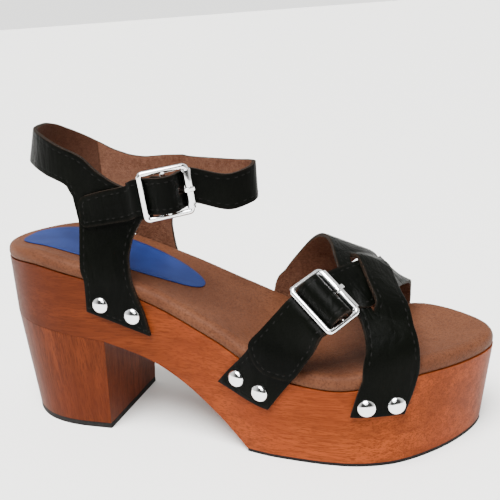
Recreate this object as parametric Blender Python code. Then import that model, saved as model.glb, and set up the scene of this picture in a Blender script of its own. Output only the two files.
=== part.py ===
"""Wooden-soled sandal for the right foot.

X runs from heel to toe, Y towards the inner side of the foot and Z up from the floor.
The origin is the middle of the heel lift's ground face. The outer side, where both
buckles lie, faces -Y.
"""
import bmesh
import bpy
from math import copysign, cos, pi, radians, sin, sqrt
from mathutils import Matrix, Vector

for thing in list(bpy.data.objects):
    bpy.data.objects.remove(thing)

MM = 0.001
FIT = 0.3 * MM  # gap left between two pieces that touch

# Wooden sole
LENGTH = 245 * MM
BALL_HALF = 45 * MM  # half the width across the ball of the foot
HEEL_SEAT = 86.8 * MM  # top of the wood under the heel
PLATFORM = 37.3 * MM  # top of the wood under the ball
BOARD_BACK = 56.8 * MM  # underside of the board at the very back
BOARD_FRONT = 48.8 * MM  # underside of the board at the heel block's front
BREAST = 64 * MM  # front face of the heel block, at its top
BREAST_FOOT = 60.4 * MM  # and at its bottom
HEEL_RAKE = 3.4 * MM
HEEL_TAPER = 2.5 * MM
HEEL_CENTRE = 31 * MM  # origin, from the back of the sole
ARCH_END = 136 * MM  # where the arch comes down to the forefoot
TOE_RAKE = 6 * MM
SIDE_TUCK = 1.5 * MM
WOOD_EDGE = 1.2 * MM
LIFT = 2.7 * MM
OUTSOLE = 1.6 * MM

# Padded footbed and its label
FOOTBED = 6.9 * MM
SHOULDER = 4.5 * MM
DISH = 2.0 * MM
LABEL_CENTRE = 58 * MM
LABEL_REACH = 48 * MM
LABEL_HALF = 18 * MM
LABEL_POWER = 0.86
LABEL_FULLER_BACK = 0.17
LABEL_BLUNT_BACK = 0.20
DISH_ENDS = 30 * MM
LABEL = 0.5 * MM

# Leather straps
LEATHER = 2.0 * MM
TAB_LEATHER = 1.5 * MM
STRAP_HALF = 8.4 * MM  # half the ankle strap's width
VAMP_HALF = 10.8 * MM  # half the long vamp strap's width inside its buckle
SKIRT = 10 * MM  # unit of height below the edge where the arch of the straps begins
ARCH_EDGE = 5 * MM  # that edge above the top of the wood
CREST = 57.7 * MM  # crest of the crossed straps above the platform

# Ankle opening
ANKLE_CENTRE = 56 * MM  # where the heel loop's curve ends and its straight sides begin
ANKLE_REACH = 34 * MM  # from there to the back of the loop
ANKLE_OUTER = 28 * MM
ANKLE_INNER = 26 * MM
QUARTER_GIRTH = pi / 2 * sqrt((ANKLE_REACH ** 2 + ANKLE_OUTER ** 2) / 2)  # a quarter ellipse
COLLAR = 65 * MM  # top of the loop above the heel seat
LOOP_LEAN = 0.33
LEAN_START = 43 * MM  # height above the heel seat from which the loop leans forward
TURN = 91.5 * MM  # where the outer quarter turns in towards the front of the ankle
TURN_ANGLE = radians(31)
CLIMB_ANGLE = radians(5)
TURN_SLOPE = 0.6

# Buckles
ANKLE_BUCKLE_LEVEL = 0.53  # above the heel seat, share of COLLAR
ANKLE_BUCKLE_BACK = 0.5 * MM
ANKLE_BUCKLE_OUT = 0.4 * MM
WIRE = 2.6 * MM
BAR = 2.4 * MM
ANKLE_BUCKLE_LONG = 24 * MM
ANKLE_BUCKLE_WIDE = 24 * MM
VAMP_BUCKLE_LONG = 18.9 * MM
VAMP_BUCKLE_WIDE = 27.5 * MM
ROLLER_RADIUS = 2.1 * MM
ROLLER_BORE = 1.6 * MM
PRONG_HALF = 1.0 * MM
PRONG_THICK = 1.0 * MM
SLOT_HALF = 1.6 * MM
PRONG_LEAVES = (3.1 * MM, -1.2 * MM)  # u and k where the prong leaves its ring
PRONG_MIDDLE = 0.2 * MM  # its height halfway to the roller
PRONG_KNEE = 1.6 * MM  # it lies on the roller from here, before the roller's middle
PRONG_TIP = (2.0 * MM, -0.7 * MM)
STRAP_LEAD = 3.5 * MM  # straight run of a strap before the roller bar
STRAP_TRAIL = 3.0 * MM  # and behind the last bar
CORNER = 1.6 * MM  # radius of the wire's middle line at a corner
CORNER_STEPS = 3
WIRE_SIDES = 8
BAR_GAP = 0.35 * MM
SLEEVE = WIRE / 2 + BAR_GAP + TAB_LEATHER  # outside of a tab's turn round the middle bar

# Studs
STUD_RADIUS = 4.2 * MM
STUD_RISE = 2.4 * MM

# Half widths of the sole. Columns: share of LENGTH, then shares of BALL_HALF on
# the outer and on the inner side, before both ends are rounded.
OUTLINE = (
    (0.00, 0.59, 0.64),
    (0.10, 0.69, 0.67),
    (0.22, 0.72, 0.63),
    (0.36, 0.725, 0.59),
    (0.50, 0.83, 0.63),
    (0.62, 0.98, 0.79),
    (0.72, 1.02, 0.93),
    (0.82, 0.96, 1.01),
    (0.92, 0.76, 1.04),
    (1.00, 0.51, 1.03),
)
HEEL_ROUND = 0.199
HEEL_POWER = 2.2
TOE_ROUND = 0.25
TOE_POWER = 1.955

# Top of the wood. Columns: share of LENGTH, share of the rise from PLATFORM to HEEL_SEAT.
TOP_LINE = (
    (0.00, 0.97),
    (0.10, 1.00),
    (0.20, 0.913),
    (0.35, 0.685),
    (0.50, 0.358),
    (0.62, 0.079),
    (0.74, 0.00),
    (0.87, 0.08),
    (1.00, 0.05),
)

# Carved arch. Columns: share of the way from BREAST to ARCH_END, share of BOARD_FRONT.
ARCH = (
    (0.00, 1.00),
    (0.29, 0.85),
    (0.57, 0.60),
    (0.80, 0.31),
    (1.00, 0.00),
)

# Rolled edge of the footbed. Columns: share of SHOULDER in from the outline, share of FOOTBED.
FOOTBED_EDGE = (
    (0.15, 0.00),
    (0.00, 0.25),
    (0.06, 0.62),
    (0.35, 0.88),
    (1.00, 1.00),
)

# Crest of the vamp. Columns: share of LENGTH, share of CREST.
CREST_LINE = (
    (0.49, 1.25),
    (0.55, 1.17),
    (0.61, 1.08),
    (0.68, 0.965),
    (0.726, 0.88),
    (0.755, 0.825),
    (0.784, 0.74),
    (0.81, 0.65),
    (0.837, 0.575),
    (0.878, 0.50),
)

# Strap over the forefoot, from its outer to its inner foot. Columns: share of LENGTH
# and place on the girth for the front edge, then the same for the rear edge.
# Girth is -1 and 1 where the arch begins on the two sides, and further out below it.
FRONT_STRAP = (
    (0.852, -3.00, 0.763, -2.60),
    (0.867, -2.00, 0.777, -1.55),
    (0.877, -1.05, 0.787, -0.95),
    (0.875, -0.74, 0.792, -0.78),
    (0.864, -0.50, 0.784, -0.62),
    (0.848, -0.33, 0.765, -0.48),
    (0.828, -0.19, 0.743, -0.34),
    (0.805, -0.03, 0.722, -0.18),
    (0.785, 0.10, 0.703, 0.00),
    (0.768, 0.25, 0.681, 0.17),
    (0.739, 0.45, 0.648, 0.39),
    (0.706, 0.64, 0.612, 0.60),
    (0.674, 0.82, 0.574, 0.80),
    (0.647, 1.00, 0.543, 1.00),
    (0.631, 1.60, 0.527, 1.60),
    (0.622, 2.40, 0.518, 2.40),
)
SLIT = (4.6, 7.5)  # rows of the table between which the strap is slit for the long one
SLIT_EASE = 0.5  # rows over which each end of the slit opens
STRAP_COLUMNS = 6
SLIT_COLUMN = 4
SLIT_GAP = 1.2 * MM
SLIT_LIFT = 3.4 * MM

# Long vamp strap ahead of its buckle. Same columns as FRONT_STRAP, then the height of
# the strap's lining above the last at its front and rear edge, in shares of LEATHER.
LONG_STRAP_FRONT = (
    (0.790, -0.458, 0.760, -0.09, 0.50, 0.60),
    (0.806, -0.31, 0.770, 0.02, -0.30, 0.10),
    (0.821, -0.13, 0.777, 0.14, -1.50, 0.00),
    (0.831, 0.09, 0.775, 0.31, -2.50, 0.00),
    (0.835, 0.35, 0.768, 0.48, -2.40, 0.00),
    (0.833, 0.62, 0.754, 0.69, -1.20, 0.00),
    (0.829, 0.85, 0.741, 0.86, -0.40, 0.00),
    (0.825, 1.00, 0.731, 1.00, 0.00, 0.00),
    (0.818, 1.70, 0.722, 1.70, 0.00, 0.00),
    (0.811, 2.30, 0.716, 2.40, 0.00, 0.00),
)
# The same strap behind its buckle, from its rounded free end.
LONG_STRAP_END = (
    (0.650, -1.18, 0.625, -1.20),
    (0.666, -1.03, 0.604, -1.06),
    (0.679, -0.96, 0.590, -0.965),
    (0.690, -0.905, 0.587, -0.895),
    (0.704, -0.835, 0.612, -0.784),
)
# Studded tab that carries the vamp buckle.
VAMP_TAB = (
    (0.611, -3.05, 0.508, -3.35),
    (0.638, -2.03, 0.535, -2.27),
    (0.665, -1.10, 0.575, -0.97),
    (0.684, -0.935, 0.591, -0.875),
    (0.704, -0.835, 0.614, -0.780),
)
VAMP_BUCKLE_PLACE = (0.717, -0.54)  # share of LENGTH, place on the girth
VAMP_BUCKLE_LIFT = 5.6 * MM  # middle of the buckle above the last
VAMP_HEADING = radians(49)  # strap direction in plan, from the toe to the inner side
VAMP_CLIMB = radians(20)
VAMP_TILT = radians(40)  # the buckle's lean from level to the outer side

# Upper edge of the ankle leather. Columns: place on the girth in shares of QUARTER_GIRTH
# from the back of the loop, minus on the outer side, then height in shares of COLLAR.
ANKLE_TOP = (
    (-1.815, 0.625),
    (-1.70, 0.605),
    (-1.56, 0.594),
    (-1.46, 0.623),
    (-1.36, 0.668),
    (-1.26, 0.726),
    (-1.14, 0.814),
    (-0.93, 0.888),
    (-0.72, 0.949),
    (-0.55, 0.980),
    (-0.30, 0.992),
    (0.00, 0.993),
    (0.21, 0.968),
    (0.405, 0.915),
    (0.59, 0.851),
    (0.77, 0.776),
    (0.92, 0.711),
    (1.10, 0.666),
    (1.26, 0.652),
    (1.48, 0.660),
)
# Lower edge of the heel loop, between the two stays. Same columns.
LOOP_BOTTOM = (
    (-1.00, 0.520),
    (-0.96, 0.605),
    (-0.89, 0.640),
    (-0.77, 0.674),
    (-0.63, 0.711),
    (-0.44, 0.743),
    (0.00, 0.757),
    (0.21, 0.735),
    (0.405, 0.680),
    (0.59, 0.585),
    (0.69, 0.505),
    (0.77, 0.440),
    (0.87, 0.375),
    (0.93, 0.348),
)
# Stays down to the wood. Columns: share of the way down, then the rear and the front
# edge as distances from the back of the sole, in shares of ANKLE_CENTRE.
STAY = (
    (0.00, 1.035, 1.590),
    (0.14, 1.030, 1.515),
    (0.32, 1.025, 1.478),
    (0.50, 1.022, 1.490),
    (0.66, 1.050, 1.530),
    (0.80, 1.045, 1.572),
    (1.00, 1.035, 1.610),
)
STAY_TOP = 0.33  # where the stays leave the band, share of COLLAR
STAY_FOOT = (-0.33, -0.50)  # rear and front of the stays' lower edge, shares of COLLAR
INNER_STAY_NARROW = 0.055
STAY_COLUMNS = 6
STAY_STEPS = 12
QUARTER_FRONT = -1.79  # front end of the outer quarter, under the buckle
STRAP_LOW = 0.395  # lower edge of the ankle strap where it leaves the inner quarter
TAB_LEVEL = 0.50
# Free end of the ankle strap on the outer quarter. Columns: place on the girth, height
# of its middle in shares of COLLAR, share of its width.
STRAP_END = (
    (-1.60, 0.487, 0.97),
    (-1.40, 0.460, 0.95),
    (-1.22, 0.435, 0.92),
    (-1.12, 0.420, 0.84),
    (-1.08, 0.415, 0.55),
)

# Ankle strap from the inner quarter round the front. Columns: share of LENGTH, then
# distance to the inner side in shares of ANKLE_INNER, and height in shares of COLLAR.
ANKLE_STRAP_PLAN = (
    (0.388, 0.88, 0.525),
    (0.449, 0.66, 0.525),
    (0.502, 0.43, 0.530),
    (0.537, 0.25, 0.540),
    (0.554, 0.02, 0.546),
    (0.549, -0.20, 0.522),
    (0.515, -0.42, 0.496),
)

# Studs. Columns: name, share of LENGTH, height above the floor, side of the shoe.
STUDS = (
    ("ankle_outer_rear", 0.269, 69 * MM, -1),
    ("ankle_outer_front", 0.335, 64 * MM, -1),
    ("ankle_inner_rear", 0.265, 69 * MM, 1),
    ("ankle_inner_front", 0.322, 65 * MM, 1),
    ("tab_rear", 0.550, 39 * MM, -1),
    ("tab_front", 0.597, 34 * MM, -1),
    ("front_outer_rear", 0.791, 31 * MM, -1),
    ("front_outer_front", 0.839, 31 * MM, -1),
    ("long_inner_rear", 0.740, 34 * MM, 1),
    ("long_inner_front", 0.792, 33 * MM, 1),
    ("front_inner_rear", 0.548, 42 * MM, 1),
    ("front_inner_front", 0.600, 38 * MM, 1),
)

WOOD = (0.62, 0.27, 0.12)
FOOTBED_BROWN = (0.48, 0.28, 0.19)
LABEL_BLUE = (0.14, 0.25, 0.55)
BLACK = (0.025, 0.025, 0.024)
RUBBER = (0.03, 0.028, 0.026)
CHROME = (0.80, 0.80, 0.80)


def curve(table, column):
    """Smooth line through one column of a table whose first column rises."""
    xs = [row[0] for row in table]
    ys = [row[column] for row in table]
    steps = [(ys[i + 1] - ys[i]) / (xs[i + 1] - xs[i]) for i in range(len(xs) - 1)]
    slopes = [steps[0]]
    for before, after in zip(steps, steps[1:]):
        slopes.append(2 * before * after / (before + after) if before * after > 0 else 0.0)
    slopes.append(steps[-1])

    def at(x):
        x = min(max(x, xs[0]), xs[-1])
        i = max(k for k in range(len(xs) - 1) if xs[k] <= x)
        span = xs[i + 1] - xs[i]
        t = (x - xs[i]) / span
        rise = ys[i + 1] - ys[i]
        return (ys[i] + t * t * (3 - 2 * t) * rise
                + span * t * (1 - t) * ((1 - t) * slopes[i] - t * slopes[i + 1]))

    return at


def ease(value, low, high):
    """0 below low, 1 above high and a smooth step between them."""
    t = min(max((value - low) / (high - low), 0.0), 1.0)
    return t * t * (3 - 2 * t)


OUTER_LINE = curve(OUTLINE, 1)
INNER_LINE = curve(OUTLINE, 2)
TOP_RISE = curve(TOP_LINE, 1)
ARCH_RISE = curve(ARCH, 1)
CREST_RISE = curve(CREST_LINE, 1)
COLLAR_TOP = curve(ANKLE_TOP, 1)
COLLAR_BOTTOM = curve(LOOP_BOTTOM, 1)
STAY_REAR = curve(STAY, 1)
STAY_FRONT = curve(STAY, 2)


def sides(x):
    """Outer and inner edge of the sole at a distance from its back."""
    share = min(max(x / LENGTH, 0.0), 1.0)
    outer = BALL_HALF * OUTER_LINE(share)
    inner = BALL_HALF * INNER_LINE(share)
    half = (outer + inner) / 2
    if share < HEEL_ROUND:
        half *= (1 - (1 - share / HEEL_ROUND) ** HEEL_POWER) ** (1 / HEEL_POWER)
    if share > 1 - TOE_ROUND:
        half *= (1 - ((share - 1 + TOE_ROUND) / TOE_ROUND) ** TOE_POWER) ** (1 / TOE_POWER)
    centre = (inner - outer) / 2
    return centre - half, centre + half


def wood_top(x):
    return PLATFORM + (HEEL_SEAT - PLATFORM) * TOP_RISE(x / LENGTH)


def wood_bottom(x):
    """Underside of the board: over the heel block, up the arch, along the forefoot."""
    if x <= BREAST:
        return BOARD_BACK + (BOARD_FRONT - BOARD_BACK) * x / BREAST + FIT
    lowest = OUTSOLE + FIT
    share = (x - BREAST) / (ARCH_END - BREAST)
    return max(lowest, lowest + (BOARD_FRONT - OUTSOLE) * ARCH_RISE(share))


def footbed_top(x, y):
    low, high = sides(x)
    half = max((high - low) / 2 - SHOULDER, MM)
    across = min(abs(y - (low + high) / 2) / half, 1.0)
    depth = DISH * ease(x, 0.0, DISH_ENDS) * (1 - ease(x, LENGTH - DISH_ENDS, LENGTH))
    return wood_top(x) + FIT + FOOTBED - depth * (1 - across ** 2)


def run_stations(start, end, count=44):
    """Distances along the sole, closer together at its rounded ends."""
    marks = {start, end, BREAST, ARCH_END}
    marks |= {LENGTH * (1 - cos(pi * k / count)) / 2 for k in range(count + 1)}
    kept = []
    for x in sorted(m for m in marks if start <= m <= end):
        if not kept or x - kept[-1] >= FIT:
            kept.append(x)
    kept[-1] = end
    return kept


def footprint(xs):
    """Closed run of points round the sole: up the outer side, back down the inner one."""
    run = [(x, sides(x)[0], x) for x in xs]
    for x in reversed(xs):
        y = sides(x)[1]
        if abs(run[-1][0] - x) + abs(run[-1][1] - y) > 1e-7:
            run.append((x, y, x))
    if abs(run[0][1] - run[-1][1]) < 1e-7:
        run.pop()
    return run


def inset(run, depth):
    """The run moved inwards, by one depth or by one that depends on the station."""
    moved = []
    for i, (x, y, station) in enumerate(run):
        before = run[i - 1]
        after = run[(i + 1) % len(run)]
        if before[2] == station and x > 0:
            before = run[i]
        if after[2] == station and x > 0:
            after = run[i]
        along = Vector((after[0] - before[0], after[1] - before[1])).normalized()
        d = depth(station) if callable(depth) else depth
        moved.append((x - along.y * d, y + along.x * d, station))
    return moved


def material(name, colour, roughness, metallic=0.0):
    made = bpy.data.materials.new(name)
    made.use_nodes = True
    shader = made.node_tree.nodes["Principled BSDF"]
    shader.inputs["Base Color"].default_value = (*colour, 1)
    shader.inputs["Roughness"].default_value = roughness
    shader.inputs["Metallic"].default_value = metallic
    made.diffuse_color = (*colour, 1)
    return made


MATERIALS = {
    "wood": material("wood", WOOD, 0.5),
    "footbed": material("footbed", FOOTBED_BROWN, 0.55),
    "label": material("label", LABEL_BLUE, 0.6),
    "leather": material("leather", BLACK, 0.4),
    "rubber": material("rubber", RUBBER, 0.8),
    "metal": material("metal", CHROME, 0.12, 1.0),
}


def face_outwards(bm):
    bmesh.ops.recalc_face_normals(bm, faces=bm.faces)
    if bm.calc_volume(signed=True) < 0:
        bmesh.ops.reverse_faces(bm, faces=bm.faces)


def finish(name, bm, look, smooth=40):
    """Turn a bmesh in sole coordinates into a named object at its place."""
    bmesh.ops.remove_doubles(bm, verts=bm.verts, dist=1e-7)
    bmesh.ops.translate(bm, verts=bm.verts, vec=(-HEEL_CENTRE, 0, 0))
    mesh = bpy.data.meshes.new(name)
    bm.to_mesh(mesh)
    bm.free()
    mesh.materials.append(MATERIALS[look])
    mesh.shade_smooth()
    mesh.set_sharp_from_angle(angle=radians(smooth))
    made = bpy.data.objects.new(name, mesh)
    bpy.context.scene.collection.objects.link(made)
    return made


def solid(name, rings, tip_first, look, low=None, high=None, columns=1):
    """Stack of closed rings with both ends covered from side to side.

    low and high give the height of the covers' inner points.
    """
    bm = bmesh.new()
    stack = [[bm.verts.new(p) for p in ring] for ring in rings]
    count = len(stack[0])
    for below, above in zip(stack, stack[1:]):
        for i in range(count):
            j = (i + 1) % count
            bm.faces.new((below[i], below[j], above[j], above[i]))
    total = count if tip_first else count - 1
    for ring, surface in ((stack[0], low), (stack[-1], high)):
        rows = []
        for i in range(total // 2 + 1):
            first = ring[i]
            last = ring[(total - i) % count]
            if first is last:
                rows.append([first])
                continue
            row = [first]
            for k in range(1, columns):
                p = first.co.lerp(last.co, k / columns)
                if surface:
                    p.z = surface(p.x, p.y)
                row.append(bm.verts.new(p))
            rows.append(row + [last])
        for a, b in zip(rows, rows[1:]):
            for k in range(max(len(a), len(b)) - 1):
                corners = [a[min(k, len(a) - 1)], a[min(k + 1, len(a) - 1)],
                           b[min(k + 1, len(b) - 1)], b[min(k, len(b) - 1)]]
                corners = list(dict.fromkeys(corners))
                bm.faces.new(corners)
    face_outwards(bm)
    return finish(name, bm, look)


def tuck(x):
    """How far the lower edge of the wood lies in from its upper edge."""
    return SIDE_TUCK * ease(x, BREAST, ARCH_END)


def rake(x):
    return TOE_RAKE * max(0.0, (x / LENGTH - 1 + TOE_ROUND) / TOE_ROUND) ** 2


def lower_ring(xs, depth, rise):
    run = inset(footprint(xs), lambda x: depth + tuck(x))
    return [(x - rake(s), y, wood_bottom(s) + rise) for x, y, s in run]


def upper_ring(xs, depth, rise):
    return [(x, y, wood_top(s) + rise) for x, y, s in inset(footprint(xs), depth)]


def build_sole():
    whole = run_stations(0.0, LENGTH)
    solid("sole_board", [
        lower_ring(whole, WOOD_EDGE / 2, 0.0),
        lower_ring(whole, 0.0, WOOD_EDGE),
        upper_ring(whole, 0.0, -WOOD_EDGE),
        upper_ring(whole, WOOD_EDGE, 0.0),
    ], True, "wood")

    heel = run_stations(0.0, BREAST)
    scale = (BREAST_FOOT - HEEL_RAKE) / BREAST

    def heel_ring(depth, height):
        run = inset(footprint(heel), depth)
        return [(HEEL_RAKE + x * scale, y, height) for x, y, s in run]

    top = [(x, y, wood_bottom(s) - FIT) for x, y, s in footprint(heel)]
    solid("heel_block", [heel_ring(HEEL_TAPER, LIFT + FIT), top], True, "wood")
    solid("heel_lift", [heel_ring(HEEL_TAPER, 0.0), heel_ring(HEEL_TAPER, LIFT)], True, "rubber")

    fore = run_stations(ARCH_END, LENGTH)
    ground = [(x - rake(s), y) for x, y, s in inset(footprint(fore), SIDE_TUCK + WOOD_EDGE / 2)]
    solid("forefoot_outsole", [
        [(x, y, 0.0) for x, y in ground],
        [(x, y, OUTSOLE) for x, y in ground],
    ], False, "rubber")


def build_footbed():
    whole = run_stations(0.0, LENGTH)
    rings = [upper_ring(whole, SHOULDER * depth, FIT + FOOTBED * rise)
             for depth, rise in FOOTBED_EDGE]
    solid("footbed", rings, True, "footbed", None, footbed_top, 6)


def label_ring(rise, count=14):
    points = []
    for k in range(2 * count):
        angle = pi * k / count
        x = LABEL_CENTRE - LABEL_REACH * cos(angle)
        half = LABEL_HALF * (1 + LABEL_FULLER_BACK * cos(angle))
        power = LABEL_POWER - LABEL_BLUNT_BACK * max(cos(angle), 0.0)
        y = -half * copysign(abs(sin(angle)) ** power, sin(angle))
        points.append((x, y, footbed_top(x, y) + rise))
    return points


def build_label():
    solid("sock_label", [label_ring(FIT), label_ring(FIT + LABEL)], True, "label",
          lambda x, y: footbed_top(x, y) + FIT,
          lambda x, y: footbed_top(x, y) + FIT + LABEL, 4)


def last_point(x, girth):
    """Point of the foot form under the vamp straps, on the straps' lining side."""
    low, high = sides(x)
    edge = wood_top(x) + ARCH_EDGE
    centre = (low + high) / 2
    half = (high - low) / 2 + FIT
    if abs(girth) > 1:
        return Vector((x, centre + copysign(half, girth), edge - (abs(girth) - 1) * SKIRT))
    crest = PLATFORM + CREST * CREST_RISE(x / LENGTH)
    power = 2 / (2.1 + 0.5 * ease(x / LENGTH, 0.77, 0.88))
    angle = girth * pi / 2
    return Vector((x, centre + half * copysign(abs(sin(angle)) ** power, girth),
                   edge + (crest - edge) * abs(cos(angle)) ** power))


def last_frame(x, girth):
    """Directions to the toe, up towards the crest and out of the form."""
    toe = (last_point(x + MM, girth) - last_point(x - MM, girth)).normalized()
    crest = last_point(x, girth + 0.02) - last_point(x, girth - 0.02)
    out = toe.cross(crest).normalized()
    return toe, out.cross(toe), out


def on_last(x, girth, rise=0.0):
    return last_point(x, girth) + last_frame(x, girth)[2] * rise


def strap_row(row, rise, columns):
    """Points across a strap, front edge first, at a height above the last."""
    front_x, front_girth, rear_x, rear_girth = row[:4]
    points = []
    for k in range(columns + 1):
        t = k / columns
        x = LENGTH * (front_x + (rear_x - front_x) * t)
        height = rise(t) if callable(rise) else rise
        points.append(on_last(x, front_girth + (rear_girth - front_girth) * t, height))
    return points


def smooth_rows(rows, steps):
    """Rows with extra ones between them, on a smooth curve through each column."""
    first = [2 * a - b for a, b in zip(rows[0], rows[1])]
    last = [2 * a - b for a, b in zip(rows[-1], rows[-2])]
    padded = [first, *rows, last]
    dense = []
    for i in range(1, len(padded) - 2):
        for k in range(steps):
            t = k / steps
            dense.append([
                0.5 * (2 * b + (c - a) * t + (2 * a - 5 * b + 4 * c - d) * t ** 2
                       + (3 * b - 3 * c + d - a) * t ** 3)
                for a, b, c, d in zip(*padded[i - 1:i + 3])])
    return dense + [rows[-1]]


def lay(bm, rows, skip=()):
    """Faces over rows of points, facing along-the-rows x across-the-rows."""
    verts = [[bm.verts.new(p) for p in row] for row in rows]
    for i in range(len(verts) - 1):
        for k in range(len(verts[i]) - 1):
            if (i, k) in skip:
                continue
            bm.faces.new((verts[i][k], verts[i + 1][k], verts[i + 1][k + 1], verts[i][k + 1]))


def wall(made, thickness):
    """Give a sheet its thickness on its outer side."""
    thick = made.modifiers.new("wall", "SOLIDIFY")
    thick.thickness = thickness
    thick.offset = 1
    thick.use_even_offset = True
    return made


class Place:
    """A buckle's place: u along the strap, w across it, k out of the foot."""

    def __init__(self, origin, along, out):
        self.origin = origin
        self.along = along.normalized()
        self.across = out.cross(self.along).normalized()
        self.out = self.along.cross(self.across)

    def at(self, u, w, k):
        return self.origin + self.along * u + self.across * w + self.out * k

    def matrix(self):
        turned = Matrix((self.along, self.across, self.out)).transposed().to_4x4()
        shift = Vector((-HEEL_CENTRE, 0, 0))
        return Matrix.Translation(self.origin + shift) @ turned


def directions(heading, climb, tilt):
    """Along a strap and out of the foot. tilt turns the second from up to the outer side."""
    along = Vector((cos(heading) * cos(climb), sin(heading) * cos(climb), sin(climb)))
    level = Vector((0, 0, 1)).cross(along).normalized()
    return along, along.cross(level) * cos(tilt) - level * sin(tilt)


def ankle_place():
    """The ankle buckle lies on the strap, which lies on the outer quarter's front end."""
    along, out = directions(TURN_ANGLE, CLIMB_ANGLE, pi / 2)
    stack = 2 * (LEATHER + FIT) + WIRE / 2
    reach = (ANKLE_BUCKLE_LONG - WIRE) / 2
    corner = Vector((TURN - ANKLE_BUCKLE_BACK, -ANKLE_OUTER - ANKLE_BUCKLE_OUT,
                     HEEL_SEAT + COLLAR * ANKLE_BUCKLE_LEVEL))
    return Place(corner + along * reach + out * stack, along, out)


def vamp_place():
    share, girth = VAMP_BUCKLE_PLACE
    return Place(on_last(LENGTH * share, girth, VAMP_BUCKLE_LIFT),
                 *directions(VAMP_HEADING, VAMP_CLIMB, VAMP_TILT))


ANKLE_PLACE = ankle_place()
VAMP_PLACE = vamp_place()


def weave(reach, ring):
    """Way of a strap's lining through a buckle, from under the roller bar over the
    middle bar and under the last bar. Columns: u, k."""
    over = ring + 2 * FIT
    roller = ROLLER_RADIUS + FIT + LEATHER
    bar = WIRE / 2 + FIT + LEATHER
    slant = cos(pi / 4)
    near = reach - roller * slant
    far = reach - bar * slant
    return (
        (reach + STRAP_LEAD, -roller - FIT),
        (reach, -roller),
        (near, -roller * slant),
        ((near + over * slant) / 2, (over - roller) * slant / 2),
        (over * slant, over * slant),
        (0.0, over),
        (-over * slant, over * slant),
        (-(far + over * slant) / 2, (over - bar) * slant / 2),
        (-far, -bar * slant),
        (-reach, -bar),
        (-reach - STRAP_TRAIL, -bar - 1.6 * FIT),
    )


def split_columns(half):
    """Points across a strap with a narrow middle column for the prong's hole."""
    return (-half, -half * 0.5, -SLOT_HALF, SLOT_HALF, half * 0.5, half)


def ankle_point(girth, height):
    """Point of the ankle leather's lining. girth is in metres from the back of the loop,
    minus on the outer side, and height is a share of COLLAR above the heel seat."""
    z = HEEL_SEAT + COLLAR * height
    half = ANKLE_OUTER if girth < 0 else ANKLE_INNER
    lean = LOOP_LEAN * max(0.0, z - HEEL_SEAT - LEAN_START)
    side = copysign(1, girth)
    if abs(girth) < QUARTER_GIRTH:
        angle = abs(girth) / QUARTER_GIRTH * pi / 2
        x = ANKLE_CENTRE - (ANKLE_REACH - lean) * cos(angle)
        y = half * sin(angle)
    else:
        x = ANKLE_CENTRE + abs(girth) - QUARTER_GIRTH
        y = half
    low, high = sides(x)
    wood = (-low if girth < 0 else high) + FIT
    free = ease(height, -0.12, 0.42)
    y = y * free + wood * (1 - free) if x > ANKLE_CENTRE else y
    if girth < 0:
        y -= TURN_SLOPE * max(0.0, x - TURN) * ease(height, 0.2, 0.32)
    return Vector((x, side * y, z))


def across_shares(half):
    """The columns of split_columns as shares of the width."""
    return [(w + half) / (2 * half) for w in split_columns(half)]


def ankle_row(girth, top, bottom):
    """Points down the ankle leather at one place on its girth."""
    return [ankle_point(girth * QUARTER_GIRTH, top + (bottom - top) * share)
            for share in across_shares(STRAP_HALF)]


def stay_edges(share, outer):
    """Rear and front edge of a stay on the girth, at a share of the way down."""
    narrow = 0 if outer else INNER_STAY_NARROW
    return [(ANKLE_CENTRE * (edge - 1) + QUARTER_GIRTH) / QUARTER_GIRTH
            for edge in (STAY_REAR(share), STAY_FRONT(share) - narrow)]


def stay_columns(outer, share=0.0):
    """Places across a stay, in the order of the girth."""
    rear, front = stay_edges(share, outer)
    places = [front + (rear - front) * k / STAY_COLUMNS for k in range(STAY_COLUMNS + 1)]
    return [-g for g in places] if outer else places[::-1]


def stay_rows(outer):
    """Points down a stay, from the band to its foot on the wood."""
    rows = [[] for k in range(STAY_COLUMNS + 1)]
    for step in range(STAY_STEPS + 1):
        share = step / STAY_STEPS
        for k, girth in enumerate(stay_columns(outer, share)):
            t = k / STAY_COLUMNS if outer else 1 - k / STAY_COLUMNS
            foot = STAY_FOOT[1] + (STAY_FOOT[0] - STAY_FOOT[1]) * t
            height = STAY_TOP + (foot - STAY_TOP) * share
            rows[k].append(ankle_point(girth * QUARTER_GIRTH, height))
    return rows


def loop_places():
    """Places along the heel loop between the stays."""
    places = []
    marks = [row[0] for row in LOOP_BOTTOM]
    for a, b in zip(marks, marks[1:]):
        cuts = max(1, round((b - a) / 0.13))
        places += [a + (b - a) * k / cuts for k in range(cuts)]
    return places + [marks[-1]]


def strap_run(first_row):
    """Ankle strap from the inner quarter round the front, through the buckle and onto
    the outer quarter."""
    rows = [first_row]
    for along, inner, height in ANKLE_STRAP_PLAN:
        middle = Vector((LENGTH * along, ANKLE_INNER * inner, HEEL_SEAT + COLLAR * height))
        rows.append([middle - Vector((0, 0, w)) for w in split_columns(STRAP_HALF)])
    bar = (ANKLE_BUCKLE_LONG - WIRE) / 2
    for u, k in weave(bar, SLEEVE):
        rows.append([ANKLE_PLACE.at(u, -w, k) for w in split_columns(STRAP_HALF)])
    for girth, height, width in STRAP_END:
        row = []
        for w in split_columns(STRAP_HALF * width):
            p = ankle_point(girth * QUARTER_GIRTH, height - w / COLLAR)
            row.append(p - Vector((0, LEATHER + FIT, 0)))
        rows.append(row)
    return rows


def prong_hole(rows, first):
    """Cells left out of a strap for the prong. first is the weave's first row."""
    return {(2 * first + k, 2) for k in rows}


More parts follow.
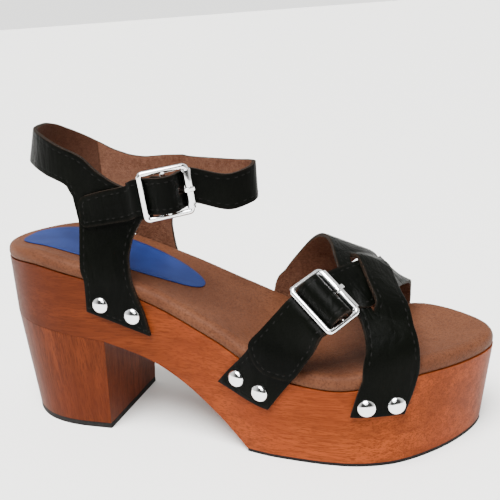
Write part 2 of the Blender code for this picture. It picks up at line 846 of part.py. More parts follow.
def build_ankle_leather():
    bm = bmesh.new()
    outer_end = -stay_edges(0.0, True)[1]
    inner_end = stay_edges(0.0, False)[1]
    rows = [ankle_row(g, COLLAR_TOP(g), STAY_TOP + 0.03)
            for g in (QUARTER_FRONT, (QUARTER_FRONT + outer_end) / 2, outer_end - 0.03)]
    rows += [ankle_row(g, COLLAR_TOP(g), STAY_TOP) for g in stay_columns(True)]
    rows += [ankle_row(g, COLLAR_TOP(g), COLLAR_BOTTOM(g)) for g in loop_places()]
    rows += [ankle_row(g, COLLAR_TOP(g), STAY_TOP) for g in stay_columns(False)]
    rows += [ankle_row(inner_end + step, COLLAR_TOP(inner_end + step), low)
             for step, low in ((0.02, STAY_TOP + 0.04), (0.06, STRAP_LOW))]
    lay(bm, rows)
    lay(bm, stay_rows(True))
    lay(bm, stay_rows(False))
    lay(bm, smooth_rows(strap_run(rows[-1]), 2), prong_hole((5, 6), len(ANKLE_STRAP_PLAN) + 1))
    bmesh.ops.remove_doubles(bm, verts=bm.verts, dist=1e-5)
    wall(finish("ankle_upper", bm, "leather"), LEATHER)


def sleeve(place, half):
    """A tab's turn round the middle bar, from below it to its far side."""
    rows = []
    for step in range(7):
        angle = radians(45 * step - 90)
        rows.append([place.at(SLEEVE * cos(angle), w, SLEEVE * sin(angle))
                     for w in split_columns(half)])
    return rows


def build_ankle_tab():
    half = STRAP_HALF * 0.9
    rows = []
    for girth in (-1.55, -1.66, -1.76):
        row = []
        for w in split_columns(half):
            p = ankle_point(girth * QUARTER_GIRTH, TAB_LEVEL + w / COLLAR)
            row.append(p + Vector((0, 3 * FIT + TAB_LEATHER, 0)))
        rows.append(row)
    under = 2 * (LEATHER + FIT) + WIRE / 2 + FIT + TAB_LEATHER
    for u, k in ((-SLEEVE * 1.5, -under), (-SLEEVE * 0.8, -under * 0.82)):
        rows.append([ANKLE_PLACE.at(u, w, k) for w in split_columns(half)])
    first = len(rows)
    rows += sleeve(ANKLE_PLACE, half)
    bm = bmesh.new()
    lay(bm, smooth_rows(rows, 2), {(k, 2) for k in range(2 * first - 1, 2 * len(rows))})
    wall(finish("ankle_buckle_tab", bm, "leather"), TAB_LEATHER)


def build_vamp_tab():
    half = VAMP_HALF
    shares = across_shares(half)
    rows = []
    for front_x, front_girth, rear_x, rear_girth in VAMP_TAB:
        rows.append([on_last(LENGTH * (front_x + (rear_x - front_x) * t),
                             front_girth + (rear_girth - front_girth) * t) for t in shares])
    reach = (VAMP_BUCKLE_LONG - WIRE) / 2
    under = WIRE / 2 + 4 * FIT + LEATHER + TAB_LEATHER
    for u, k in ((-reach - 2.0 * MM, -under), (-reach, -under), (-reach * 0.5, -under)):
        rows.append([VAMP_PLACE.at(u, w, k) for w in split_columns(half)])
    first = len(rows)
    rows += sleeve(VAMP_PLACE, half)
    bm = bmesh.new()
    lay(bm, smooth_rows(rows, 2), {(k, 2) for k in range(2 * first - 1, 2 * len(rows))})
    wall(finish("vamp_buckle_tab", bm, "leather"), TAB_LEATHER)


def front_strap():
    """Strap over the forefoot, slit where the long strap passes under its front part."""
    rows = smooth_rows([[Vector(row)] for row in FRONT_STRAP], 2)
    start, end = SLIT
    lip = []
    rear = []
    for i, (row,) in enumerate(rows):
        place = i / 2
        open_slit = (ease(place, start, start + SLIT_EASE)
                     * (1 - ease(place, end - SLIT_EASE, end)))

        def raised(t):
            spread = 2 * SLIT_EASE * (1 - t * STRAP_COLUMNS / SLIT_COLUMN)
            up = ease(place, start - spread, start + SLIT_EASE)
            return SLIT_LIFT * up * (1 - ease(place, end - SLIT_EASE, end + spread))

        full = strap_row(row, 0.0, STRAP_COLUMNS)
        over = strap_row(row, lambda t: raised(min(t, SLIT_COLUMN / STRAP_COLUMNS)), STRAP_COLUMNS)
        across = (full[0] - full[-1]).normalized() * SLIT_GAP * open_slit
        over[SLIT_COLUMN] = over[SLIT_COLUMN] + across
        full[SLIT_COLUMN] = full[SLIT_COLUMN] - across
        lip.append(over[:SLIT_COLUMN + 1])
        rear.append(full[SLIT_COLUMN:])
    bm = bmesh.new()
    lay(bm, lip)
    lay(bm, rear)
    bmesh.ops.remove_doubles(bm, verts=bm.verts, dist=1e-5)
    return wall(finish("vamp_straps", bm, "leather"), LEATHER)


def long_strap():
    """Strap from its free end on the tab, through the buckle and down the inner side."""
    shares = across_shares(VAMP_HALF)
    rows = []
    for row in LONG_STRAP_END:
        front_x, front_girth, rear_x, rear_girth = row
        rows.append([on_last(LENGTH * (front_x + (rear_x - front_x) * t),
                             front_girth + (rear_girth - front_girth) * t,
                             TAB_LEATHER + FIT) for t in shares])
    reach = (VAMP_BUCKLE_LONG - WIRE) / 2
    first = len(rows)
    for u, k in reversed(weave(reach, SLEEVE)):
        rows.append([VAMP_PLACE.at(u, w, k) for w in split_columns(VAMP_HALF)])
    for front_x, front_girth, rear_x, rear_girth, front_rise, rear_rise in LONG_STRAP_FRONT:
        rows.append([on_last(LENGTH * (front_x + (rear_x - front_x) * t),
                             front_girth + (rear_girth - front_girth) * t,
                             LEATHER * (front_rise + (rear_rise - front_rise) * t))
                     for t in shares])
    bm = bmesh.new()
    lay(bm, smooth_rows(rows, 2), prong_hole((13, 14), first))
    return wall(finish("long_strap", bm, "leather"), LEATHER)


def build_vamp_straps():
    joined = front_strap()
    other = long_strap()
    other.hide_render = True
    other.display_type = "WIRE"
    union = joined.modifiers.new("joined at the crossing", "BOOLEAN")
    union.operation = "UNION"
    union.object = other


def frame_path(long, wide):
    """Middle line of a buckle's wire: a rectangle with round corners, in u and w."""
    path = []
    for turn, u, w in ((0, 1, 1), (90, -1, 1), (180, -1, -1), (270, 1, -1)):
        centre_u = u * (long / 2 - WIRE / 2 - CORNER)
        centre_w = w * (wide / 2 - WIRE / 2 - CORNER)
        for step in range(CORNER_STEPS + 1):
            angle = radians(turn + 90 * step / CORNER_STEPS)
            path.append((centre_u + CORNER * cos(angle), centre_w + CORNER * sin(angle), angle))
    return path


def frame_mesh(long, wide):
    bm = bmesh.new()
    rings = []
    for u, w, angle in frame_path(long, wide):
        ring = []
        for k in range(WIRE_SIDES):
            turn = 2 * pi * (k + 0.5) / WIRE_SIDES
            out = WIRE / 2 * cos(turn)
            ring.append(bm.verts.new((u + out * cos(angle), w + out * sin(angle),
                                      WIRE / 2 * sin(turn))))
        rings.append(ring)
    for i, ring in enumerate(rings):
        after = rings[(i + 1) % len(rings)]
        for k in range(WIRE_SIDES):
            j = (k + 1) % WIRE_SIDES
            bm.faces.new((ring[k], after[k], after[j], ring[j]))
    face_outwards(bm)
    return bm


def bar_mesh(wide):
    bm = bmesh.new()
    bmesh.ops.create_cone(bm, cap_ends=True, segments=WIRE_SIDES, radius1=BAR / 2,
                          radius2=BAR / 2, depth=wide - WIRE,
                          matrix=Matrix.Rotation(pi / 2, 4, "X"))
    face_outwards(bm)
    return bm


def hardware(name, bm, place, u=0.0):
    """A metal piece modelled in its buckle's own coordinates."""
    bmesh.ops.translate(bm, verts=bm.verts, vec=(HEEL_CENTRE, 0, 0))
    made = finish(name, bm, "metal", 50)
    made.matrix_world = place.matrix() @ Matrix.Translation((u, 0, 0))
    return made


def roller_mesh(length):
    bm = bmesh.new()
    profile = [bm.verts.new((r, w, 0)) for r, w in (
        (ROLLER_BORE, -length / 2), (ROLLER_RADIUS, -length / 2),
        (ROLLER_RADIUS, length / 2), (ROLLER_BORE, length / 2))]
    face = bm.faces.new(profile)
    bmesh.ops.spin(bm, geom=face.edges[:] + profile, cent=(0, 0, 0), axis=(0, 1, 0),
                   angle=2 * pi, steps=14, use_merge=True)
    bmesh.ops.delete(bm, geom=[f for f in bm.faces if all(abs(v.co.z) < 1e-7 and v.co.x > 0
                                                          for v in f.verts)], context="FACES_ONLY")
    face_outwards(bm)
    return bm


def prong_mesh(reach):
    """Ring round the middle bar, then out through the strap and over the roller."""
    ring = WIRE / 2 + BAR_GAP + PRONG_THICK
    path = [(ring * cos(radians(a)), ring * sin(radians(a))) for a in range(90, 316, 45)]
    rise = ROLLER_RADIUS + 1.5 * FIT
    path += [PRONG_LEAVES, ((PRONG_LEAVES[0] + reach) / 2, PRONG_MIDDLE),
             (reach - PRONG_KNEE, rise), (reach, rise),
             (reach + PRONG_TIP[0], rise + PRONG_TIP[1])]
    bm = bmesh.new()
    rows = [[Vector((u, -PRONG_HALF, k)), Vector((u, PRONG_HALF, k))] for u, k in path]
    lay(bm, smooth_rows(rows, 2))
    return bm


def build_buckle(name, place, long, wide):
    reach = (long - WIRE) / 2
    wire = hardware(name + "_frame", frame_mesh(long, wide), place)
    bar = hardware(name + "_bar", bar_mesh(wide), place)
    bar.hide_render = True
    bar.display_type = "WIRE"
    union = wire.modifiers.new("middle bar", "BOOLEAN")
    union.operation = "UNION"
    union.object = bar
    hardware(name + "_roller", roller_mesh(wide - 2 * WIRE - 2 * FIT), place, reach)
    wall(hardware(name + "_prong", prong_mesh(reach), place), PRONG_THICK)


def stud_mesh():
    bm = bmesh.new()
    bmesh.ops.create_uvsphere(bm, u_segments=12, v_segments=8, radius=STUD_RADIUS)
    cut = bmesh.ops.bisect_plane(bm, geom=bm.verts[:] + bm.edges[:] + bm.faces[:],
                                 plane_co=(0, 0, 0), plane_no=(0, 0, 1), clear_inner=True,
                                 dist=1e-6)
    rim = [e for e in bm.edges if e.is_boundary]
    bmesh.ops.holes_fill(bm, edges=rim)
    bmesh.ops.scale(bm, verts=bm.verts, vec=(1, 1, STUD_RISE / STUD_RADIUS))
    face_outwards(bm)
    return bm


def build_studs():
    """Domed studs through the foot of each strap, into the side of the wood."""
    for name, x, height, side in STUDS:
        along = LENGTH * x
        low, high = sides(along)
        before = sides(along - MM)
        after = sides(along + MM)
        k = 0 if side < 0 else 1
        slope = (after[k] - before[k]) / (2 * MM)
        out = Vector((-slope * side, side, 0)).normalized()
        seat = LEATHER + 2 * FIT if "tab" not in name else TAB_LEATHER + 2 * FIT
        spot = Vector((along, (low, high)[k], height)) + out * seat
        bm = stud_mesh()
        turn = Vector((0, 0, 1)).rotation_difference(out).to_matrix().to_4x4()
        bmesh.ops.translate(bm, verts=bm.verts, vec=(HEEL_CENTRE, 0, 0))
        made = finish("stud_" + name, bm, "metal", 60)
        made.matrix_world = Matrix.Translation(spot - Vector((HEEL_CENTRE, 0, 0))) @ turn


build_sole()
build_footbed()
build_label()
build_ankle_leather()
build_ankle_tab()
build_vamp_tab()
build_vamp_straps()
build_buckle("ankle_buckle", ANKLE_PLACE, ANKLE_BUCKLE_LONG, ANKLE_BUCKLE_WIDE)
build_buckle("vamp_buckle", VAMP_PLACE, VAMP_BUCKLE_LONG, VAMP_BUCKLE_WIDE)
build_studs()
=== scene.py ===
# %% [markdown]
# # A wooden-soled sandal
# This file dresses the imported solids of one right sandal: a carved and stained sole, a padded
# footbed, black leather straps with a brown lining, two roller buckles and twelve domed studs.
# Lengths are in metres. X runs to the toe, Y to the inner side of the foot, Z up.

# %% Load the frame
from math import copysign, cos, pi, radians, sin, sqrt

import bmesh
import bpy
from mathutils import Matrix, Vector
from mathutils.kdtree import KDTree


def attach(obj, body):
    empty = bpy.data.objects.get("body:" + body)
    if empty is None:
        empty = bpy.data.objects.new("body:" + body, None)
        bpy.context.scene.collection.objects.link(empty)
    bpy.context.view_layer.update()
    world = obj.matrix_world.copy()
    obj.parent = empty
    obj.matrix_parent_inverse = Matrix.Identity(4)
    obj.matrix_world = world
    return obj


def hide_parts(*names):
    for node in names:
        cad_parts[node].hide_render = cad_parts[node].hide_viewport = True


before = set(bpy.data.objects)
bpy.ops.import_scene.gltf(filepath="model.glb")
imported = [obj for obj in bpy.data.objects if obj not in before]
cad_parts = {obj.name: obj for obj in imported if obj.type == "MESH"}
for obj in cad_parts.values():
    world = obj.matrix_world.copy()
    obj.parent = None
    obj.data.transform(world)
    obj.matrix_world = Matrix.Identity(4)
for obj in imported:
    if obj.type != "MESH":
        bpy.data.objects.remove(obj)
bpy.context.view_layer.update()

MM = 0.001
FIT = 0.3 * MM
ROOT = "root"
print("nodes:", len(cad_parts))


def curve(table, column):
    """Smooth line through one column of a table whose first column rises."""
    xs = [row[0] for row in table]
    ys = [row[column] for row in table]
    steps = [(ys[i + 1] - ys[i]) / (xs[i + 1] - xs[i]) for i in range(len(xs) - 1)]
    slopes = [steps[0]]
    for before, after in zip(steps, steps[1:]):
        slopes.append(2 * before * after / (before + after) if before * after > 0 else 0.0)
    slopes.append(steps[-1])

    def at(x):
        x = min(max(x, xs[0]), xs[-1])
        i = max(k for k in range(len(xs) - 1) if xs[k] <= x)
        span = xs[i + 1] - xs[i]
        t = (x - xs[i]) / span
        rise = ys[i + 1] - ys[i]
        return (ys[i] + t * t * (3 - 2 * t) * rise
                + span * t * (1 - t) * ((1 - t) * slopes[i] - t * slopes[i + 1]))

    return at


def ease(value, low, high):
    """0 below low, 1 above high and a smooth step between them."""
    t = min(max((value - low) / (high - low), 0.0), 1.0)
    return t * t * (3 - 2 * t)


def mix(a, b, t):
    return a + (b - a) * t

# %% [markdown]
# ## Shader helper
# Procedural finishes are long sums of masks and noises. Wrapping a socket in a small class lets
# the sums be written as plain expressions, which reads better than a list of links.

# %% Shader maths
class Finish:
    """A material being built; it hands out nodes and remembers its Principled shader."""

    def __init__(self, name, **settings):
        self.made = bpy.data.materials.new(name)
        self.made.use_nodes = True
        self.tree = self.made.node_tree
        self.shader = self.tree.nodes["Principled BSDF"]
        for key, value in settings.items():
            self.shader.inputs[key.replace("_", " ")].default_value = value

    def node(self, kind, settings=None, **sockets):
        """Any node: its settings first, then the values or links of its sockets."""
        made = self.tree.nodes.new("ShaderNode" + kind)
        for key, value in (settings or {}).items():
            setattr(made, key, value)
        for key, value in sockets.items():
            self.join(made.inputs[key.replace("_", " ")], value)
        return made

    def join(self, socket, value):
        if isinstance(value, Value):
            self.tree.links.new(value.socket, socket)
        elif isinstance(value, tuple) and socket.type == "RGBA":
            socket.default_value = (*value[:3], 1)
        else:
            socket.default_value = value

    def value(self, node, output=0):
        return Value(self, node.outputs[output])

    def feed(self, name, value):
        self.join(self.shader.inputs[name], value)

    def place(self, scale=(1, 1, 1)):
        """Coordinates of the piece itself, stretched by scale."""
        own = self.value(self.node("TexCoord"), "Object")
        return self.value(self.node("Mapping", None, Scale=scale, Vector=own))

    def noise(self, where, scale, detail=3.0, rough=0.5, distort=0.0):
        return self.value(self.node("TexNoise", None, Vector=where, Scale=scale, Detail=detail,
                                    Roughness=rough, Distortion=distort))

    def cells(self, where, scale, feature):
        return self.value(self.node("TexVoronoi", {"feature": feature}, Vector=where,
                                    Scale=scale))

    def blend(self, share, a, b):
        """Mix of two colours."""
        made = self.node("Mix", {"data_type": "RGBA"})
        self.join(made.inputs[0], share)
        self.join(made.inputs[6], a)
        self.join(made.inputs[7], b)
        return self.value(made, 2)

    def bump(self, height, strength, distance, under=None):
        made = self.node("Bump", None, Height=height, Strength=strength, Distance=distance)
        if under is not None:
            self.join(made.inputs["Normal"], under)
        return self.value(made)


class Value:
    """A number socket with arithmetic."""

    def __init__(self, finish, socket):
        self.finish = finish
        self.socket = socket

    def maths(self, operation, *others, swap=False):
        made = self.finish.node("Math", {"operation": operation})
        values = (others[0], self) if swap else (self, *others)
        for socket, value in zip(made.inputs, values):
            self.finish.join(socket, value)
        return Value(self.finish, made.outputs[0])

    def __add__(self, other):
        return self.maths("ADD", other)

    __radd__ = __add__

    def __mul__(self, other):
        return self.maths("MULTIPLY", other)

    __rmul__ = __mul__

    def __sub__(self, other):
        return self.maths("SUBTRACT", other)

    def __rsub__(self, other):
        return self.maths("SUBTRACT", other, swap=True)

    def step(self, low, high):
        """0 below low, 1 above high, smooth between them."""
        made = self.finish.node("MapRange", {"interpolation_type": "SMOOTHSTEP"}, Value=self)
        made.inputs["From Min"].default_value = low
        made.inputs["From Max"].default_value = high
        return self.finish.value(made)

# %% [markdown]
# ## The sole's lines
# A wooden sole is cut from a block with a bandsaw, first in plan and then in profile. So two
# plan lines and a few profile lines give its whole shape. They are the same named sizes as in
# the solids.

# %% Sizes of the sole
LENGTH = 245 * MM
BALL_HALF = 45 * MM
HEEL_SEAT = 86.8 * MM
PLATFORM = 37.3 * MM
BOARD_BACK = 56.8 * MM
BOARD_FRONT = 48.8 * MM
BREAST = 64 * MM
BREAST_FOOT = 60.4 * MM
HEEL_RAKE = 3.4 * MM
HEEL_TAPER = 2.5 * MM
HEEL_CENTRE = 31 * MM
ARCH_END = 136 * MM
TOE_RAKE = 6 * MM
SIDE_TUCK = 1.5 * MM
WOOD_EDGE = 1.2 * MM
LIFT = 2.7 * MM
OUTSOLE = 1.6 * MM
FOOTBED = 6.9 * MM
SHOULDER = 4.5 * MM
DISH = 2.0 * MM
LABEL_CENTRE = 58 * MM
LABEL_REACH = 48 * MM
LABEL_HALF = 18 * MM
LABEL_POWER = 0.86
LABEL_FULLER_BACK = 0.17
LABEL_THICK = 0.4 * MM
LABEL_BLUNT_BACK = 0.20
DISH_ENDS = 30 * MM

OUTLINE = (
    (0.00, 0.59, 0.64), (0.10, 0.69, 0.67), (0.22, 0.72, 0.63), (0.36, 0.725, 0.59),
    (0.50, 0.83, 0.63), (0.62, 0.98, 0.79), (0.72, 1.02, 0.93), (0.82, 0.96, 1.01),
    (0.92, 0.76, 1.04), (1.00, 0.51, 1.03),
)
HEEL_ROUND, HEEL_POWER = 0.199, 2.2
TOE_ROUND, TOE_POWER = 0.25, 1.955
TOP_LINE = (
    (0.00, 0.97), (0.10, 1.00), (0.20, 0.913), (0.35, 0.685), (0.50, 0.358), (0.62, 0.079),
    (0.74, 0.00), (0.87, 0.08), (1.00, 0.05),
)
ARCH = ((0.00, 1.00), (0.29, 0.85), (0.57, 0.60), (0.80, 0.31), (1.00, 0.00))

OUTER_LINE = curve(OUTLINE, 1)
INNER_LINE = curve(OUTLINE, 2)
TOP_RISE = curve(TOP_LINE, 1)
ARCH_RISE = curve(ARCH, 1)

# %% The sole's lines as functions
def sides(x):
    """Outer and inner edge of the sole at a distance from its back."""
    share = min(max(x / LENGTH, 0.0), 1.0)
    outer = BALL_HALF * OUTER_LINE(share)
    inner = BALL_HALF * INNER_LINE(share)
    half = (outer + inner) / 2
    if share < HEEL_ROUND:
        half *= (1 - (1 - share / HEEL_ROUND) ** HEEL_POWER) ** (1 / HEEL_POWER)
    if share > 1 - TOE_ROUND:
        half *= (1 - ((share - 1 + TOE_ROUND) / TOE_ROUND) ** TOE_POWER) ** (1 / TOE_POWER)
    centre = (inner - outer) / 2
    return centre - half, centre + half


def wood_top(x):
    return PLATFORM + (HEEL_SEAT - PLATFORM) * TOP_RISE(x / LENGTH)


def wood_bottom(x):
    """Underside of the board: over the heel block, up the arch, along the forefoot."""
    if x <= BREAST:
        return BOARD_BACK + (BOARD_FRONT - BOARD_BACK) * x / BREAST + FIT
    lowest = OUTSOLE + FIT
    share = (x - BREAST) / (ARCH_END - BREAST)
    return max(lowest, lowest + (BOARD_FRONT - OUTSOLE) * ARCH_RISE(share))


def footbed_top(x, y):
    low, high = sides(x)
    half = max((high - low) / 2 - SHOULDER, MM)
    across = min(abs(y - (low + high) / 2) / half, 1.0)
    depth = DISH * ease(x, 0.0, DISH_ENDS) * (1 - ease(x, LENGTH - DISH_ENDS, LENGTH))
    return wood_top(x) + FIT + FOOTBED - depth * (1 - across ** 2)


def rake(x):
    return TOE_RAKE * max(0.0, (x / LENGTH - 1 + TOE_ROUND) / TOE_ROUND) ** 2


def tuck(x):
    return SIDE_TUCK * ease(x, BREAST, ARCH_END)


print("platform", round(PLATFORM * 1000, 1), "mm, heel seat", round(HEEL_SEAT * 1000, 1), "mm")

# %% Helpers for a finished piece
def dressed(name, bm, looks, nodes=(), smooth=40):
    """Turn a bmesh in sole coordinates into a piece that rides on the frame."""
    bmesh.ops.translate(bm, verts=bm.verts, vec=(-HEEL_CENTRE, 0, 0))
    mesh = bpy.data.meshes.new(name)
    bm.to_mesh(mesh)
    bm.free()
    for look in looks if isinstance(looks, (list, tuple)) else [looks]:
        mesh.materials.append(look.made)
    mesh.shade_smooth()
    mesh.set_sharp_from_angle(angle=radians(smooth))
    piece = bpy.data.objects.new(name, mesh)
    bpy.context.scene.collection.objects.link(piece)
    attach(piece, ROOT)
    if nodes:
        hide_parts(*nodes)
    print(name, len(mesh.polygons), "faces")
    return piece


def rounded(piece, width, segments=3, angle=35):
    """A live Bevel that softens a piece's cut edges."""
    soft = piece.modifiers.new("softened edges", "BEVEL")
    soft.width = width
    soft.segments = segments
    soft.limit_method = "ANGLE"
    soft.angle_limit = radians(angle)
    return piece


def face_outwards(bm):
    bmesh.ops.remove_doubles(bm, verts=bm.verts, dist=1e-6)
    bmesh.ops.recalc_face_normals(bm, faces=bm.faces)
    if bm.calc_volume(signed=True) < 0:
        bmesh.ops.reverse_faces(bm, faces=bm.faces)

# %% [markdown]
# ## Finishes: wood
# The sole is a pale, close-grained wood stained orange-brown. The stain sinks deeper into the
# soft early wood, so long streaks run with the grain. Noise stretched along the grain gives
# both the streaks and the fine pores. The board darkens towards the heel and the heel block
# is darker still: painted shade.

# %% Wood
def wood_finish(name, grain, across_scale, tone, shade_end=None):
    """grain is the stretch of the pattern: small along the grain, large across it. Before
    shade_end, a pair of distances along the sole, the colour darkens: painted shade."""
    made = Finish(name, Roughness=0.42, Specular_IOR_Level=0.05)
    where = made.place(scale=grain)
    wander = made.noise(made.place(), 22, 3)
    broad = made.noise(where, across_scale, 3, 0.55, 0.6)
    fine = made.noise(where, across_scale * 6, 4, 0.65, 0.3)
    pores = made.noise(where, across_scale * 26, 3, 0.7)
    light = made.blend(broad.step(0.34, 0.68), tuple(c * 0.66 for c in tone), tone)
    colour = made.blend(fine.step(0.44, 0.60) * 0.50, light, tuple(c * 0.42 for c in tone))
    colour = made.blend(pores.step(0.48, 0.60) * 0.60, colour, tuple(c * 0.30 for c in tone))
    red_stain = (tone[0] * 0.62, tone[1] * 0.50, tone[2] * 0.50)
    colour = made.blend(wander.step(0.38, 0.72) * 0.45, colour, red_stain)
    # Painted shade: the colour darkens towards the heel end of the board.
    if shade_end:
        along = made.value(made.node("SeparateXYZ", None, Vector=made.place()))
        painted_shade = (1 - along.step(*shade_end)) * 0.8
        colour = made.blend(painted_shade, colour, (tone[0] * 0.15, tone[1] * 0.15, tone[2] * 0.2))
    made.feed("Base Color", colour)
    made.feed("Roughness", 0.38 + fine * 0.18)
    made.feed("Normal", made.bump(pores * 0.6 + fine * 0.4, 0.14, 0.0003))
    return made


WOOD_TONE = (0.21, 0.042, 0.0095)
# Painted shade: the heel block's tone is half the board's, a shaded copy of the same wood.
SHADED_HEEL_TONE = (0.105, 0.021, 0.0048)
SOLE_WOOD = wood_finish("stained_wood_board", (2.2, 34, 34), 2.0, WOOD_TONE,
                        (-15 * MM, 125 * MM))
HEEL_WOOD = wood_finish("stained_wood_block", (30, 30, 3.0), 2.0, SHADED_HEEL_TONE)

# %% [markdown]
# ## Finishes: leathers
# The straps are smooth black leather with a fine grain, lined with finely wrinkled brown leather.
# Behind the heel the lining is darker, up to a seam: painted shade inside the heel loop. The
# footbed's leather is speckled and soft. A cut edge shows the raw, lighter fibre.

# %% Leathers, rubber, label and metal
def grained(made, scale, strength, distance, extra=None, under=None):
    """Normal of a leather: small cells with wrinkles between them."""
    where = made.place()
    cells = made.cells(where, scale, "DISTANCE_TO_EDGE")
    height = cells.step(0.0, 0.18) + made.noise(where, scale * 0.4, 3) * 0.6
    if extra is not None:
        height = height + extra
    return made.bump(height, strength, distance, under)


def black_leather():
    made = Finish("black_leather", Roughness=0.38, Specular_IOR_Level=0.03)
    where = made.place()
    soft = made.noise(where, 26, 3)
    scuff = made.noise(where, 160, 4, 0.7)
    edge = Value(made, made.node("Attribute", {"attribute_name": "edge"}).outputs["Fac"])
    folds = made.noise(made.place(scale=(1, 1, 0.3)), 130, 2, 0.5, 0.6)
    rub = (1 - edge.step(0.0, 0.0012)) * scuff.step(0.35, 0.65)
    base = made.blend(soft.step(0.35, 0.7), (0.0006, 0.0008, 0.0005), (0.0014, 0.0017, 0.0011))
    made.feed("Base Color", made.blend(rub * 0.4, base, (0.010, 0.007, 0.005)))
    made.feed("Roughness", 0.26 + soft * 0.16 + scuff * 0.12)
    groove = 1 - (made_distance(edge, 0.0023) * 1600).step(0.2, 1.0)
    creased = made.bump(folds, 0.35, 0.0025)
    made.feed("Normal", grained(made, 1500, 0.16, 0.00025, groove * -2.2, creased))
    return made


def made_distance(value, place):
    return (value - place).maths("ABSOLUTE")


LINING_SEAM = 12.6 * MM


def lining_leather():
    made = Finish("brown_lining", Roughness=0.62, Specular_IOR_Level=0.05)
    where = made.place()
    wrinkle = made.noise(where, 620, 4, 0.65, 0.8)
    wear = made.noise(where, 60, 3, 0.6)
    tone = made.blend(wrinkle.step(0.3, 0.7), (0.060, 0.022, 0.012), (0.115, 0.049, 0.029))
    tone = made.blend(wear.step(0.4, 0.7) * 0.3, tone, (0.15, 0.073, 0.046))
    along = made.value(made.node("SeparateXYZ", None, Vector=where))
    # Painted shade: the lining darkens behind the seam, inside the heel loop; the seam itself is
    # a real groove.
    loop_shade = 1 - along.step(LINING_SEAM - 0.3 * MM, LINING_SEAM + 0.3 * MM)
    made.feed("Base Color", made.blend(loop_shade * 0.75, tone, (0.030, 0.011, 0.006)))
    seam = 1 - (made_distance(along, LINING_SEAM) * 1000).step(0.2, 0.8)
    made.feed("Normal", grained(made, 900, 0.45, 0.0004, wrinkle * 1.5 - seam * 3))
    return made


def cut_edge():
    made = Finish("cut_edge", Roughness=0.8, Specular_IOR_Level=0.1)
    fibre = made.noise(made.place(), 1400, 3, 0.7)
    made.feed("Base Color", made.blend(fibre.step(0.35, 0.75), (0.002, 0.0016, 0.0012),
                                       (0.030, 0.017, 0.010)))
    made.feed("Normal", made.bump(fibre, 0.4, 0.0002))
    return made


def footbed_leather():
    made = Finish("footbed_leather", Roughness=0.5, Specular_IOR_Level=0.06)
    where = made.place()
    patch = made.noise(where, 22, 4, 0.6)
    rub = made.noise(where, 95, 4, 0.7)
    speck = made.noise(where, 900, 3, 0.7)
    tone = made.blend(patch.step(0.3, 0.72), (0.066, 0.023, 0.011), (0.098, 0.037, 0.018))
    tone = made.blend(speck.step(0.45, 0.65) * 0.6, tone, (0.035, 0.012, 0.006))
    made.feed("Base Color", made.blend(rub.step(0.5, 0.85) * 0.35, tone, (0.045, 0.016, 0.008)))
    made.feed("Roughness", 0.42 + rub * 0.2)
    made.feed("Normal", grained(made, 1100, 0.30, 0.0003, speck * 0.6))
    return made


def label_finish():
    made = Finish("blue_label", Roughness=0.55, Specular_IOR_Level=0.12)
    where = made.place(scale=(1, 1, 0))
    weave = made.noise(where, 1800, 2)
    tone = made.blend(made.noise(where, 60, 3).step(0.3, 0.7), (0.006, 0.014, 0.070),
                      (0.010, 0.022, 0.100))
    made.feed("Base Color", tone)
    made.feed("Normal", made.bump(weave, 0.25, 0.0002))
    return made


def rubber_finish():
    made = Finish("black_rubber", Roughness=0.75, Specular_IOR_Level=0.15)
    fleck = made.noise(made.place(), 420, 3, 0.7)
    made.feed("Base Color", made.blend(fleck.step(0.5, 0.8), (0.005, 0.0045, 0.004),
                                       (0.015, 0.013, 0.011)))
    made.feed("Normal", made.bump(fleck, 0.3, 0.0003))
    return made


def chrome_finish():
    made = Finish("polished_metal", Roughness=0.09, Metallic=1.0)
    haze = made.noise(made.place(), 260, 3, 0.6)
    made.feed("Base Color", made.blend(haze.step(0.4, 0.8) * 0.3, (0.88, 0.885, 0.89),
                                       (0.66, 0.655, 0.64)))
    made.feed("Roughness", 0.06 + haze * 0.10)
    return made


def thread_finish():
    made = Finish("black_thread", Roughness=0.7, Specular_IOR_Level=0.1)
    twist = made.noise(made.place(), 1500, 2)
    made.feed("Base Color", made.blend(twist, (0.0012, 0.0012, 0.0012), (0.005, 0.0045, 0.004)))
    return made


BLACK_LEATHER = black_leather()
LINING = lining_leather()
CUT_EDGE = cut_edge()
FOOTBED_LEATHER = footbed_leather()
LABEL_BLUE = label_finish()
RUBBER = rubber_finish()
CHROME = chrome_finish()
THREAD = thread_finish()
print("finishes:", len(bpy.data.materials))

# %% [markdown]
# ## Sole board
# The board is one piece of wood: thin over the heel, carved away under the arch and thick at the
# forefoot. Its plan and its profile change along the length, so a flat grid is laid in plan,
# pulled to the underside, extruded up as a whole and its upper copy pulled to the top line.
# The cut edges are softened afterwards, as a router and sandpaper would do it.

# %% Grid laid in plan
def plan_grid(xs, columns, place):
    """A grid over stations xs; place(x, share across) gives each point."""
    bm = bmesh.new()
    bmesh.ops.create_grid(bm, x_segments=len(xs) - 1, y_segments=columns, size=1)
    for v in bm.verts:
        i = round((v.co.x + 1) / 2 * (len(xs) - 1))
        v.co = place(xs[i], (v.co.y + 1) / 2)
    return bm


def stations(start, end, count=110):
    """Distances along the sole, closer together at both ends of the whole sole."""
    marks = {start, end, BREAST, ARCH_END}
    marks |= {LENGTH * (1 - cos(pi * k / count)) / 2 for k in range(count + 1)}
    kept = []
    for x in sorted(m for m in marks if start <= m <= end):
        if not kept or x - kept[-1] > 0.03 * MM:
            kept.append(x)
    kept[-1] = end
    return kept


def board_block(name, xs, under, over, look, nodes, columns=20):
    """A block between an underside and an upper side that share one plan grid."""
    bm = plan_grid(xs, columns, lambda x, t: (x, t, 0))
    made = bmesh.ops.extrude_face_region(bm, geom=bm.faces[:], use_keep_orig=True)
    upper = {g for g in made["geom"] if isinstance(g, bmesh.types.BMVert)}
    for v in bm.verts:
        v.co = (over if v in upper else under)(v.co.x, v.co.y)
    face_outwards(bm)
    return dressed(name, bm, look, nodes)


def across(x, share, depth=0.0):
    low, high = sides(x)
    half = max((high - low) / 2 - depth, 0.0)
    return (low + high) / 2 + half * (2 * share - 1)


